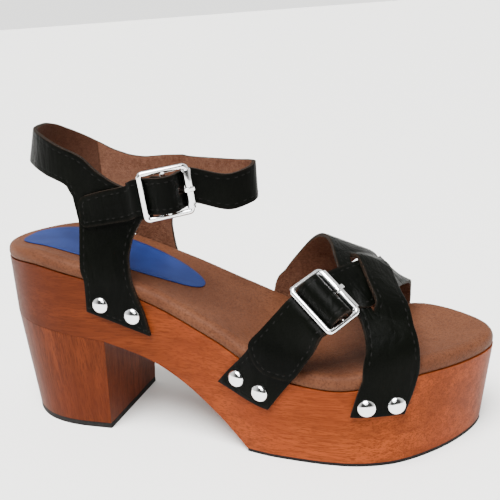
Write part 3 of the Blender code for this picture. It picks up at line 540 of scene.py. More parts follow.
# %% Sole board, heel block, lift and outsole
whole = stations(0.0, LENGTH)
board = board_block(
    "sole_board_wood", whole,
    lambda x, t: (x - rake(x), across(x, t, tuck(x)), wood_bottom(x)),
    lambda x, t: (x, across(x, t), wood_top(x)), SOLE_WOOD, ["sole_board"])
rounded(board, WOOD_EDGE)

heel = stations(0.0, BREAST)
heel_scale = (BREAST_FOOT - HEEL_RAKE) / BREAST
block = board_block(
    "heel_block_wood", heel,
    lambda x, t: (HEEL_RAKE + x * heel_scale, across(x, t, HEEL_TAPER), LIFT + FIT / 2),
    lambda x, t: (x, across(x, t), wood_bottom(x) - FIT / 2), HEEL_WOOD, ["heel_block"])
rounded(block, 0.5 * MM, 2)
lift = board_block(
    "heel_lift_rubber", heel,
    lambda x, t: (HEEL_RAKE + x * heel_scale, across(x, t, HEEL_TAPER), 0),
    lambda x, t: (HEEL_RAKE + x * heel_scale, across(x, t, HEEL_TAPER), LIFT),
    RUBBER, ["heel_lift"])
rounded(lift, 0.3 * MM, 2)

fore = stations(ARCH_END, LENGTH)
outsole = board_block(
    "forefoot_outsole_rubber", fore,
    lambda x, t: (x - rake(x), across(x, t, SIDE_TUCK + WOOD_EDGE / 2), 0),
    lambda x, t: (x - rake(x), across(x, t, SIDE_TUCK + WOOD_EDGE / 2), OUTSOLE),
    RUBBER, ["forefoot_outsole"])
rounded(outsole, 0.3 * MM, 2)

# %% [markdown]
# ## Footbed
# The insole is a pad of cork or foam wrapped in leather and glued to the wood. Its edge is a soft
# roll that follows the sole's outline, at the heel and toe too. A closed skin is made from
# one grid: its columns run from the middle of the underside, round the outer roll, over the
# dished top, round the inner roll and back, and the two ends of the grid are merged.

# %% Footbed
ROLL = ((0.30, 0.00), (0.10, 0.08), (0.01, 0.26), (0.00, 0.42), (0.04, 0.60), (0.13, 0.76),
        (0.29, 0.89), (0.52, 0.965), (0.78, 0.993), (1.00, 1.00))
TOP_COLUMNS = 18


def rim(angle, side):
    """Point of the outline. angle runs from 0 at the heel to pi at the toe."""
    if angle < 0:
        angle, side = -angle, -side
    if angle > pi:
        angle, side = 2 * pi - angle, -side
    x = LENGTH * (1 - cos(angle)) / 2
    return Vector((x, sides(x)[0 if side < 0 else 1], 0))


def rim_inside(angle, side, depth):
    along = (rim(angle + 0.02, side) - rim(angle - 0.02, side)).normalized()
    return rim(angle, side) + Vector((-along.y, along.x, 0)) * (-side * depth)


def footbed_point(angle, column):
    """Point of the footbed's skin on one of its columns."""
    last = 2 * len(ROLL) + TOP_COLUMNS
    side = -1 if column <= last / 2 else 1
    place = min(column, last - column)
    x = LENGTH * (1 - cos(angle)) / 2
    if place == 0:
        middle = (rim_inside(angle, -1, SHOULDER) + rim_inside(angle, 1, SHOULDER)) / 2
        return Vector((middle.x, middle.y, wood_top(x) + FIT / 2))
    if place <= len(ROLL):
        depth, rise = ROLL[place - 1]
        p = rim_inside(angle, side, SHOULDER * depth)
        return Vector((p.x, p.y, wood_top(x) + FIT / 2 + FOOTBED * rise))
    outer = rim_inside(angle, -1, SHOULDER)
    inner = rim_inside(angle, 1, SHOULDER)
    p = outer.lerp(inner, (column - len(ROLL)) / TOP_COLUMNS)
    return Vector((p.x, p.y, footbed_top(p.x, p.y) - FIT / 2))


turns = 110
columns = 2 * len(ROLL) + TOP_COLUMNS
bm = bmesh.new()
bmesh.ops.create_grid(bm, x_segments=turns, y_segments=columns, size=1)
for v in bm.verts:
    v.co = footbed_point((v.co.x + 1) / 2 * pi, round((v.co.y + 1) / 2 * columns))
face_outwards(bm)
footbed = dressed("footbed_pad", bm, FOOTBED_LEATHER, ["footbed"])

# %% Label
bm = bmesh.new()
bmesh.ops.create_grid(bm, x_segments=60, y_segments=16, size=1)
for v in bm.verts:
    angle = (v.co.x + 1) / 2 * pi
    x = LABEL_CENTRE - LABEL_REACH * cos(angle)
    half = LABEL_HALF * (1 + LABEL_FULLER_BACK * cos(angle))
    power = LABEL_POWER - LABEL_BLUNT_BACK * max(cos(angle), 0.0)
    y = half * sin(angle) ** power * v.co.y if 0 < angle < pi - 1e-6 else 0.0
    v.co = (x, y, footbed_top(x, y) + 0.05 * MM)
bmesh.ops.remove_doubles(bm, verts=bm.verts, dist=1e-6)
label = dressed("sock_label_plain", bm, LABEL_BLUE, ["sock_label"])
thick = label.modifiers.new("wall", "SOLIDIFY")
thick.thickness = LABEL_THICK
thick.offset = 1

# %% [markdown]
# ## Straps on the foot form
# A clog maker pulls the straps over a last and nails them to the sole's side. So each strap is
# laid on the shape of a foot: a flat grid, whose long side is the strap's length, is placed row
# by row on that form. Thickness comes last, outwards, so the lining keeps the form's shape.

# %% Foot form
ARCH_EDGE = 5 * MM
SKIRT = 10 * MM
CREST = 57.7 * MM
LEATHER = 2.0 * MM
TAB_LEATHER = 1.5 * MM
CREST_LINE = (
    (0.49, 1.25), (0.55, 1.17), (0.61, 1.08), (0.68, 0.965), (0.726, 0.88), (0.755, 0.825),
    (0.784, 0.74), (0.81, 0.65), (0.837, 0.575), (0.878, 0.50),
)
CREST_RISE = curve(CREST_LINE, 1)
LAST_POWER, TOE_SQUARER = 2.1, 0.5
TOE_SQUARES = (0.77, 0.88)


def last_point(x, girth):
    """Point of the foot form. Girth is -1 and 1 where the arch of the straps begins."""
    low, high = sides(x)
    edge = wood_top(x) + ARCH_EDGE
    centre = (low + high) / 2
    half = (high - low) / 2 + FIT
    if abs(girth) > 1:
        return Vector((x, centre + copysign(half, girth), edge - (abs(girth) - 1) * SKIRT))
    crest = PLATFORM + CREST * CREST_RISE(x / LENGTH)
    power = 2 / (LAST_POWER + TOE_SQUARER * ease(x / LENGTH, *TOE_SQUARES))
    angle = girth * pi / 2
    return Vector((x, centre + half * copysign(abs(sin(angle)) ** power, girth),
                   edge + (crest - edge) * abs(cos(angle)) ** power))


def last_frame(x, girth):
    """Directions to the toe, up towards the crest and out of the form."""
    toe = (last_point(x + MM, girth) - last_point(x - MM, girth)).normalized()
    crest = last_point(x, girth + 0.02) - last_point(x, girth - 0.02)
    out = toe.cross(crest).normalized()
    return toe, out.cross(toe), out


def on_last(x, girth, rise=0.0):
    return last_point(x, girth) + last_frame(x, girth)[2] * rise


# %% Rows of a strap
def strap_row(row, rise, columns):
    """Points across a strap, front edge first, at a height above the form."""
    front_x, front_girth, rear_x, rear_girth = row[:4]
    points = []
    for k in range(columns + 1):
        t = k / columns
        height = rise(t) if callable(rise) else rise
        points.append(on_last(LENGTH * mix(front_x, rear_x, t),
                              mix(front_girth, rear_girth, t), height))
    return points


def smooth_rows(rows, steps):
    """Rows with extra ones between them, on a smooth curve through each column."""
    first = [2 * a - b for a, b in zip(rows[0], rows[1])]
    last = [2 * a - b for a, b in zip(rows[-1], rows[-2])]
    padded = [first, *rows, last]
    dense = []
    for i in range(1, len(padded) - 2):
        for k in range(steps):
            t = k / steps
            dense.append([
                0.5 * (2 * b + (c - a) * t + (2 * a - 5 * b + 4 * c - d) * t ** 2
                       + (3 * b - 3 * c + d - a) * t ** 3)
                for a, b, c, d in zip(*padded[i - 1:i + 3])])
    return dense + [rows[-1]]


def lay(bm, rows, hole=None):
    """Add a grid to the sheet and place it row by row. hole(row, column) leaves cells out."""
    n, m = len(rows) - 1, len(rows[0]) - 1
    made = bmesh.ops.create_grid(bm, x_segments=n, y_segments=m, size=1)["verts"]
    cut = []
    for f in {f for v in made for f in v.link_faces}:
        c = f.calc_center_median()
        if hole and hole(int((c.x + 1) / 2 * n), int((c.y + 1) / 2 * m)):
            cut.append(f)
    for v in made:
        v.co = rows[round((v.co.x + 1) / 2 * n)][round((v.co.y + 1) / 2 * m)]
    bmesh.ops.delete(bm, geom=cut, context="FACES")


# %% Edges, stitches and thickness
def mark_edges(bm):
    """Store each point's distance to the nearest cut edge, for wear and stitch grooves."""
    cuts = [e for e in bm.edges if e.is_boundary]
    points = [e.verts[0].co.lerp(e.verts[1].co, k / 4) for e in cuts for k in range(4)]
    tree = KDTree(len(points))
    for i, p in enumerate(points):
        tree.insert(p, i)
    tree.balance()
    layer = bm.verts.layers.float.new("edge")
    for v in bm.verts:
        v[layer] = tree.find(v.co)[2]


STITCH_INSET = 2.3 * MM
STITCH_PITCH = 3.0 * MM
STITCH_SUNK = 0.12 * MM
STITCH_HALF = (0.36 * STITCH_PITCH, 0.34 * MM, 0.30 * MM)  # along, across and out


def stitches(name, bm, wanted, thick=LEATHER):
    """Rows of sunk thread beside the cut edges of a sheet where wanted(point) is true."""
    bm.normal_update()
    left = {e for e in bm.edges if e.is_boundary}
    beads = bmesh.new()
    count = 0
    while left:
        edge = left.pop()
        run = [edge.verts[0], edge.verts[1]]
        faces = [edge.link_faces[0]]
        while True:
            follow = [e for e in run[-1].link_edges if e in left]
            if not follow:
                break
            left.discard(follow[0])
            faces.append(follow[0].link_faces[0])
            run.append(follow[0].other_vert(run[-1]))
        line = []
        for a, b, f in zip(run, run[1:], faces):
            middle = (a.co + b.co) / 2
            along = (b.co - a.co).normalized()
            inward = f.normal.cross(along)
            if inward.dot(f.calc_center_median() - middle) < 0:
                inward = -inward
            line.append((middle + inward * STITCH_INSET + f.normal * thick, f.normal.copy()))
        gone = 0.0
        for (p, n), (q, _) in zip(line, line[1:]):
            gone += (q - p).length
            if gone < STITCH_PITCH or (q - p).length < 1e-6:
                continue
            gone = 0.0
            if not wanted(Vector((p.x - HEEL_CENTRE, p.y, p.z))):
                continue
            along = (q - p).normalized()
            side = n.cross(along).normalized()
            turn = Matrix((along, side, along.cross(side))).transposed().to_4x4()
            place = Matrix.Translation(p - n * STITCH_SUNK) @ turn
            size = Matrix.Diagonal((*STITCH_HALF, 1))
            bmesh.ops.create_icosphere(beads, subdivisions=1, radius=1, matrix=place @ size)
            count += 1
    print(name, count, "stitches")
    return dressed(name, beads, THREAD)


def leather(piece, thickness, edge_width=0.35 * MM, even=True):
    """Thickness on the outer side, with a brown lining inside and a raw cut edge."""
    wall = piece.modifiers.new("wall", "SOLIDIFY")
    wall.thickness = thickness
    wall.offset = 1
    wall.use_even_offset = even
    wall.material_offset = 1
    wall.material_offset_rim = 2
    return rounded(piece, edge_width, 2, 50)


STRAP_LOOKS = (BLACK_LEATHER, LINING, CUT_EDGE)

# %% [markdown]
# ## Buckles' places
# Both buckles are centre-bar buckles: a square wire frame with a bar across its middle, which
# the short tab holds, and a roller on the side where the long strap comes in. Each has a place
# with one direction along its strap, one across it and one out of the foot.

# %% Buckle sizes and places
STRAP_HALF = 8.4 * MM
VAMP_HALF = 10.8 * MM
ANKLE_CENTRE = 56 * MM
ANKLE_REACH = 34 * MM
ANKLE_OUTER = 28 * MM
ANKLE_INNER = 26 * MM
QUARTER_GIRTH = pi / 2 * sqrt((ANKLE_REACH ** 2 + ANKLE_OUTER ** 2) / 2)
COLLAR = 65 * MM
LOOP_LEAN = 0.33
LEAN_START = 43 * MM
TURN = 91.5 * MM
TURN_ANGLE = radians(31)
CLIMB_ANGLE = radians(5)
TURN_SLOPE = 0.6
WIRE = 2.6 * MM
BAR = 2.4 * MM
ANKLE_BUCKLE = (24 * MM, 24 * MM)
VAMP_BUCKLE = (18.9 * MM, 27.5 * MM)
ROLLER_RADIUS = 2.1 * MM
ROLLER_BORE = 1.6 * MM
PRONG_HALF = 1.0 * MM
PRONG_THICK = 1.0 * MM
SLOT_HALF = 1.6 * MM
CORNER = 1.6 * MM
BAR_GAP = 0.35 * MM
SLEEVE = WIRE / 2 + BAR_GAP + TAB_LEATHER
STRAP_LEAD = 3.5 * MM
STRAP_TRAIL = 3.0 * MM
PRONG_LEAVES = (3.1 * MM, -1.2 * MM)
PRONG_MIDDLE = 0.2 * MM
PRONG_KNEE = 1.6 * MM
PRONG_TIP = (2.0 * MM, -0.7 * MM)
ANKLE_BUCKLE_LEVEL = 0.53
ANKLE_BUCKLE_BACK = 0.5 * MM
ANKLE_BUCKLE_OUT = 0.4 * MM
VAMP_BUCKLE_PLACE = (0.717, -0.54)
VAMP_BUCKLE_LIFT = 5.6 * MM
VAMP_HEADING = radians(49)
VAMP_CLIMB = radians(20)
VAMP_TILT = radians(40)


class Place:
    """u along the strap, w across it, k out of the foot."""

    def __init__(self, origin, along, out):
        self.origin = origin
        self.along = along.normalized()
        self.across = out.cross(self.along).normalized()
        self.out = self.along.cross(self.across)

    def at(self, u, w, k):
        return self.origin + self.along * u + self.across * w + self.out * k

    def matrix(self):
        turned = Matrix((self.along, self.across, self.out)).transposed().to_4x4()
        return Matrix.Translation(self.origin) @ turned


def directions(heading, climb, tilt):
    """Along a strap and out of the foot. tilt turns the second from up to the outer side."""
    along = Vector((cos(heading) * cos(climb), sin(heading) * cos(climb), sin(climb)))
    level = Vector((0, 0, 1)).cross(along).normalized()
    return along, along.cross(level) * cos(tilt) - level * sin(tilt)


def ankle_place():
    along, out = directions(TURN_ANGLE, CLIMB_ANGLE, pi / 2)
    stack = 2 * (LEATHER + FIT) + WIRE / 2
    reach = (ANKLE_BUCKLE[0] - WIRE) / 2
    corner = Vector((TURN - ANKLE_BUCKLE_BACK, -ANKLE_OUTER - ANKLE_BUCKLE_OUT,
                     HEEL_SEAT + COLLAR * ANKLE_BUCKLE_LEVEL))
    return Place(corner + along * reach + out * stack, along, out)


def vamp_place():
    share, girth = VAMP_BUCKLE_PLACE
    return Place(on_last(LENGTH * share, girth, VAMP_BUCKLE_LIFT),
                 *directions(VAMP_HEADING, VAMP_CLIMB, VAMP_TILT))


ANKLE_PLACE = ankle_place()
VAMP_PLACE = vamp_place()


def weave(reach, ring):
    """Way of a strap's lining through a buckle: under the roller bar, over the middle bar
    and under the last bar. Columns: u, k."""
    over = ring + 2 * FIT
    roller = ROLLER_RADIUS + FIT + LEATHER
    bar = WIRE / 2 + FIT + LEATHER
    slant = cos(pi / 4)
    near = reach - roller * slant
    far = reach - bar * slant
    return (
        (reach + STRAP_LEAD, -roller - FIT), (reach, -roller),
        (near, -roller * slant), ((near + over * slant) / 2, (over - roller) * slant / 2),
        (over * slant, over * slant), (0.0, over), (-over * slant, over * slant),
        (-(far + over * slant) / 2, (over - bar) * slant / 2), (-far, -bar * slant),
        (-reach, -bar),
        (-reach - STRAP_TRAIL, -bar - 1.6 * FIT),
    )


FINE = 14  # columns across a strap


def columns_across(half):
    """Columns across a strap, with one pair of them on the prong's slot."""
    outer = FINE // 2
    side = [mix(SLOT_HALF, half, k / (outer - 1)) for k in range(outer)]
    return [-w for w in reversed(side)] + side


def is_slot(column):
    return column == FINE // 2 - 1


# %% [markdown]
# ## Ankle leather
# The quarters, the loop behind the heel and the ankle strap are one piece of leather. It is laid
# on an upright form: round the heel on a quarter ellipse at each side, then straight, then
# inwards along the strap. Its columns are measured on that girth, so the leather keeps its
# real length round the bends.

# %% Edges of the ankle leather
ANKLE_TOP = (
    (-1.815, 0.625), (-1.70, 0.605), (-1.56, 0.594), (-1.46, 0.623), (-1.36, 0.668),
    (-1.26, 0.726), (-1.14, 0.814), (-0.93, 0.888), (-0.72, 0.949), (-0.55, 0.980),
    (-0.30, 0.992), (0.00, 0.993), (0.21, 0.968), (0.405, 0.915), (0.59, 0.851), (0.77, 0.776),
    (0.92, 0.711), (1.10, 0.666), (1.26, 0.652), (1.48, 0.660),
)
LOOP_BOTTOM = (
    (-1.00, 0.520), (-0.96, 0.605), (-0.89, 0.640), (-0.77, 0.674), (-0.63, 0.711),
    (-0.44, 0.743), (0.00, 0.757), (0.21, 0.735), (0.405, 0.680), (0.59, 0.585),
    (0.69, 0.505), (0.77, 0.440), (0.87, 0.375), (0.93, 0.348),
)
STAY = (
    (0.00, 1.035, 1.590), (0.14, 1.030, 1.515), (0.32, 1.025, 1.478), (0.50, 1.022, 1.490),
    (0.66, 1.050, 1.530), (0.80, 1.045, 1.572), (1.00, 1.035, 1.610),
)
STAY_TOP = 0.33
STAY_FOOT = (-0.33, -0.50)
INNER_STAY_NARROW = 0.055
STAY_COLUMNS = 20
STAY_STEPS = 44
QUARTER_FRONT = -1.79
STRAP_LOW = 0.395
TAB_LEVEL = 0.50
STRAP_END = (
    (-1.60, 0.487, 0.97), (-1.40, 0.460, 0.95), (-1.22, 0.435, 0.92), (-1.12, 0.420, 0.84),
    (-1.08, 0.415, 0.55),
)
ANKLE_STRAP_PLAN = (
    (0.388, 0.88, 0.525), (0.449, 0.66, 0.525), (0.502, 0.43, 0.530), (0.537, 0.25, 0.540),
    (0.554, 0.02, 0.546), (0.549, -0.20, 0.522), (0.515, -0.42, 0.496),
)
FREE_OF_WOOD = (-0.12, 0.42)
FREE_TO_TURN = (0.2, 0.32)
COLLAR_TOP = curve(ANKLE_TOP, 1)
COLLAR_BOTTOM = curve(LOOP_BOTTOM, 1)
STAY_REAR = curve(STAY, 1)
STAY_FRONT = curve(STAY, 2)


def ankle_point(girth, height):
    """Point of the lining; girth in metres from the back, height in shares of COLLAR."""
    z = HEEL_SEAT + COLLAR * height
    half = ANKLE_OUTER if girth < 0 else ANKLE_INNER
    lean = LOOP_LEAN * max(0.0, z - HEEL_SEAT - LEAN_START)
    side = copysign(1, girth)
    if abs(girth) < QUARTER_GIRTH:
        angle = abs(girth) / QUARTER_GIRTH * pi / 2
        x = ANKLE_CENTRE - (ANKLE_REACH - lean) * cos(angle)
        y = half * sin(angle)
    else:
        x = ANKLE_CENTRE + abs(girth) - QUARTER_GIRTH
        y = half
    low, high = sides(x)
    wood = (-low if girth < 0 else high) + FIT
    free = ease(height, *FREE_OF_WOOD)
    y = y * free + wood * (1 - free) if x > ANKLE_CENTRE else y
    if girth < 0:
        y -= TURN_SLOPE * max(0.0, x - TURN) * ease(height, *FREE_TO_TURN)
    return Vector((x, side * y, z))


# %% Ankle leather
def ankle_row(girth, top, bottom):
    shares = [(w + STRAP_HALF) / (2 * STRAP_HALF) for w in columns_across(STRAP_HALF)]
    return [ankle_point(girth * QUARTER_GIRTH, mix(top, bottom, share)) for share in shares]


def stay_edges(share, outer):
    narrow = 0 if outer else INNER_STAY_NARROW
    return [(ANKLE_CENTRE * (edge - 1) + QUARTER_GIRTH) / QUARTER_GIRTH
            for edge in (STAY_REAR(share), STAY_FRONT(share) - narrow)]


def stay_columns(outer, share=0.0):
    rear, front = stay_edges(share, outer)
    places = [mix(front, rear, k / STAY_COLUMNS) for k in range(STAY_COLUMNS + 1)]
    return [-g for g in places] if outer else places[::-1]


def stay_rows(outer):
    rows = [[] for k in range(STAY_COLUMNS + 1)]
    for step in range(STAY_STEPS + 1):
        share = step / STAY_STEPS
        for k, girth in enumerate(stay_columns(outer, share)):
            t = k / STAY_COLUMNS if outer else 1 - k / STAY_COLUMNS
            foot = mix(STAY_FOOT[1], STAY_FOOT[0], t)
            rows[k].append(ankle_point(girth * QUARTER_GIRTH, mix(STAY_TOP, foot, share)))
    return rows


def loop_places():
    places = []
    marks = [row[0] for row in LOOP_BOTTOM]
    for a, b in zip(marks, marks[1:]):
        cuts = max(2, round((b - a) / 0.025))
        places += [mix(a, b, k / cuts) for k in range(cuts)]
    return places + [marks[-1]]


def strap_run(first_row):
    rows = [first_row]
    for along, inner, height in ANKLE_STRAP_PLAN:
        middle = Vector((LENGTH * along, ANKLE_INNER * inner, HEEL_SEAT + COLLAR * height))
        rows.append([middle - Vector((0, 0, w)) for w in columns_across(STRAP_HALF)])
    for u, k in weave((ANKLE_BUCKLE[0] - WIRE) / 2, SLEEVE):
        rows.append([ANKLE_PLACE.at(u, -w, k) for w in columns_across(STRAP_HALF)])
    for girth, height, width in STRAP_END:
        row = []
        for w in columns_across(STRAP_HALF * width):
            p = ankle_point(girth * QUARTER_GIRTH, height - w / COLLAR)
            row.append(p - Vector((0, LEATHER + FIT, 0)))
        rows.append(row)
    return rows


STRAP_STEPS = 7
bm = bmesh.new()
outer_end = -stay_edges(0.0, True)[1]
inner_end = stay_edges(0.0, False)[1]
rows = [ankle_row(g, COLLAR_TOP(g), STAY_TOP + 0.03)
        for g in (mix(QUARTER_FRONT, outer_end - 0.03, k / 8) for k in range(9))]
rows += [ankle_row(g, COLLAR_TOP(g), STAY_TOP) for g in stay_columns(True)]
rows += [ankle_row(g, COLLAR_TOP(g), COLLAR_BOTTOM(g)) for g in loop_places()]
rows += [ankle_row(g, COLLAR_TOP(g), STAY_TOP) for g in stay_columns(False)]
rows += [ankle_row(inner_end + step, COLLAR_TOP(inner_end + step), low)
         for step, low in ((0.02, STAY_TOP + 0.04), (0.04, STAY_TOP + 0.055), (0.06, STRAP_LOW))]
lay(bm, rows)
lay(bm, stay_rows(True))
lay(bm, stay_rows(False))
first = STRAP_STEPS * (len(ANKLE_STRAP_PLAN) + 1)
slot = range(first + STRAP_STEPS * 5 // 2, first + STRAP_STEPS * 7 // 2)
lay(bm, smooth_rows(strap_run(rows[-1]), STRAP_STEPS),
    lambda i, k: i in slot and is_slot(k))
bmesh.ops.remove_doubles(bm, verts=bm.verts, dist=1e-5)
mark_edges(bm)
stitches("ankle_stitches", bm, lambda p: p.z > 0.0)
ankle = dressed("ankle_leather", bm, STRAP_LOOKS, ["ankle_upper"])
leather(ankle, LEATHER)

# %% Tabs that hold the buckles
def sleeve(place, half):
    rows = []
    for step in range(13):
        angle = radians(22.5 * step - 90)
        rows.append([place.at(SLEEVE * cos(angle), w, SLEEVE * sin(angle))
                     for w in columns_across(half)])
    return rows


def tab_slot(first):
    return lambda i, k: i >= 4 * first - 2 and is_slot(k)


ANKLE_TAB_NARROW = 0.9
ANKLE_TAB_GIRTHS = (-1.55, -1.66, -1.76)
half = STRAP_HALF * ANKLE_TAB_NARROW
rows = []
for girth in ANKLE_TAB_GIRTHS:
    row = []
    for w in columns_across(half):
        p = ankle_point(girth * QUARTER_GIRTH, TAB_LEVEL + w / COLLAR)
        row.append(p + Vector((0, 3 * FIT + TAB_LEATHER, 0)))
    rows.append(row)
under = 2 * (LEATHER + FIT) + WIRE / 2 + FIT + TAB_LEATHER
for u, k in ((-SLEEVE * 1.5, -under), (-SLEEVE * 0.8, -under * 0.82)):
    rows.append([ANKLE_PLACE.at(u, w, k) for w in columns_across(half)])
first = len(rows)
rows += sleeve(ANKLE_PLACE, half)
bm = bmesh.new()
lay(bm, smooth_rows(rows, 4), tab_slot(first))
mark_edges(bm)
leather(dressed("ankle_tab_leather", bm, STRAP_LOOKS, ["ankle_buckle_tab"]),
        TAB_LEATHER)

VAMP_TAB = (
    (0.611, -3.05, 0.508, -3.35), (0.638, -2.03, 0.535, -2.27), (0.665, -1.10, 0.575, -0.97),
    (0.684, -0.935, 0.591, -0.875), (0.704, -0.835, 0.614, -0.780),
)
half = VAMP_HALF
shares = [(w + half) / (2 * half) for w in columns_across(half)]


def share_row(row, front_rise, rear_rise=None):
    rear = front_rise if rear_rise is None else rear_rise
    return [on_last(LENGTH * mix(row[0], row[2], t), mix(row[1], row[3], t),
                    mix(front_rise, rear, t)) for t in shares]


rows = [share_row(row, 0.0) for row in VAMP_TAB]
reach = (VAMP_BUCKLE[0] - WIRE) / 2
under = WIRE / 2 + 4 * FIT + LEATHER + TAB_LEATHER
for u, k in ((-reach - 2.0 * MM, -under), (-reach, -under), (-reach * 0.5, -under)):
    rows.append([VAMP_PLACE.at(u, w, k) for w in columns_across(half)])
first = len(rows)
rows += sleeve(VAMP_PLACE, half)
bm = bmesh.new()
lay(bm, smooth_rows(rows, 4), tab_slot(first))
mark_edges(bm)
stitches("vamp_tab_stitches", bm, lambda p: p.z > 0.047 and p.x < 0.12, thick=TAB_LEATHER)
leather(dressed("vamp_tab_leather", bm, STRAP_LOOKS, ["vamp_buckle_tab"]),
        TAB_LEATHER)

# %% [markdown]
# ## Crossed vamp straps
# The front strap runs from the outer front studs up and back over the foot. It is slit, and the
# long strap comes through the buckle, passes over its rear part, dives through the slit and
# comes out at its front edge on the inner side. Each is a sheet of its own; the front part of
# the slit strap is lifted so that the long strap has room below it.

# %% Crossed vamp straps
FRONT_STRAP = (
    (0.852, -3.00, 0.763, -2.60), (0.867, -2.00, 0.777, -1.55), (0.877, -1.05, 0.787, -0.95),
    (0.875, -0.74, 0.792, -0.78), (0.864, -0.50, 0.784, -0.62), (0.848, -0.33, 0.765, -0.48),
    (0.828, -0.19, 0.743, -0.34), (0.805, -0.03, 0.722, -0.18), (0.785, 0.10, 0.703, 0.00),
    (0.768, 0.25, 0.681, 0.17), (0.739, 0.45, 0.648, 0.39), (0.706, 0.64, 0.612, 0.60),
    (0.674, 0.82, 0.574, 0.80), (0.647, 1.00, 0.543, 1.00), (0.631, 1.60, 0.527, 1.60),
    (0.622, 2.40, 0.518, 2.40),
)
SLIT = (4.6, 7.5)
SLIT_EASE = 0.5
SLIT_SHARE = 2 / 3
SLIT_GAP = 1.2 * MM
SLIT_LIFT = 3.4 * MM
SLIT_SPREAD = 6
FRONT_COLUMNS = 24
FRONT_STEPS = 8


def slit_open(place):
    opened = ease(place, SLIT[0], SLIT[0] + SLIT_EASE)
    return opened * (1 - ease(place, SLIT[1] - SLIT_EASE, SLIT[1]))


def lip_rise(place, t):
    spread = 2 * SLIT_EASE * (1 - min(t, SLIT_SHARE) / SLIT_SHARE)
    up = ease(place, SLIT[0] - spread, SLIT[0] + SLIT_EASE)
    return SLIT_LIFT * up * (1 - ease(place, SLIT[1] - SLIT_EASE, SLIT[1] + spread))


slit_column = round(SLIT_SHARE * FRONT_COLUMNS)
lip_rows = []
rear_rows = []
for i, (row,) in enumerate(smooth_rows([[Vector(row)] for row in FRONT_STRAP], FRONT_STEPS)):
    place = i / FRONT_STEPS
    full = strap_row(row, 0.0, FRONT_COLUMNS)
    over = strap_row(row, lambda t: lip_rise(place, t), FRONT_COLUMNS)
    gap = (full[0] - full[-1]).normalized() * SLIT_GAP * slit_open(place)
    for j in range(SLIT_SPREAD):
        share = 1 - j / SLIT_SPREAD
        over[slit_column - j] = over[slit_column - j] + gap * share
        full[slit_column + j] = full[slit_column + j] - gap * share
    lip_rows.append(over[:slit_column + 1])
    rear_rows.append(full[slit_column:])
bm = bmesh.new()
lay(bm, lip_rows)
lay(bm, rear_rows)
bmesh.ops.remove_doubles(bm, verts=bm.verts, dist=1e-5)
mark_edges(bm)
stitches("front_strap_stitches", bm, lambda p: p.z > 0.05)
front_strap = dressed("front_strap_leather", bm, STRAP_LOOKS)
leather(front_strap, LEATHER, even=False)

LONG_STRAP_FRONT = (
    (0.790, -0.458, 0.760, -0.09, 0.50, 0.60), (0.806, -0.31, 0.770, 0.02, -0.30, 0.10),
    (0.821, -0.13, 0.777, 0.14, -1.50, 0.00), (0.831, 0.09, 0.775, 0.31, -2.50, 0.00),
    (0.835, 0.35, 0.768, 0.48, -2.40, 0.00), (0.833, 0.62, 0.754, 0.69, -1.20, 0.00),
    (0.829, 0.85, 0.741, 0.86, -0.40, 0.00), (0.825, 1.00, 0.731, 1.00, 0.00, 0.00),
    (0.818, 1.70, 0.722, 1.70, 0.00, 0.00), (0.811, 2.30, 0.716, 2.40, 0.00, 0.00),
)
LONG_STRAP_END = (
    (0.650, -1.18, 0.625, -1.20), (0.666, -1.03, 0.604, -1.06), (0.679, -0.96, 0.590, -0.965),
    (0.690, -0.905, 0.587, -0.895), (0.704, -0.835, 0.612, -0.784),
)
LONG_STEPS = 7
rows = [share_row(row, TAB_LEATHER + FIT) for row in LONG_STRAP_END]
first = LONG_STEPS * len(rows)
for u, k in reversed(weave(reach, SLEEVE)):
    rows.append([VAMP_PLACE.at(u, w, k) for w in columns_across(VAMP_HALF)])
rows += [share_row(row, LEATHER * row[4], LEATHER * row[5]) for row in LONG_STRAP_FRONT]
slot = range(first + LONG_STEPS * 13 // 2, first + LONG_STEPS * 15 // 2)
bm = bmesh.new()
lay(bm, smooth_rows(rows, LONG_STEPS), lambda i, k: i in slot and is_slot(k))
mark_edges(bm)
stitches("long_strap_stitches", bm, lambda p: p.z > 0.04)
long_strap = dressed("long_strap_leather", bm, STRAP_LOOKS, ["vamp_straps"])
leather(long_strap, LEATHER)

# %% [markdown]
# ## Buckles
# The frame is bent from round wire. A circle is swept along each side and spun round each
# corner, so the bends are true quarter turns. The middle bar, the roller with its hollow bore
# and the bent prong are pieces of their own, as they are on the real buckle.

# %% Buckle frames
def bar_section(bm, radius, segments=20):
    return bmesh.ops.create_circle(bm, segments=segments, radius=radius)["verts"]


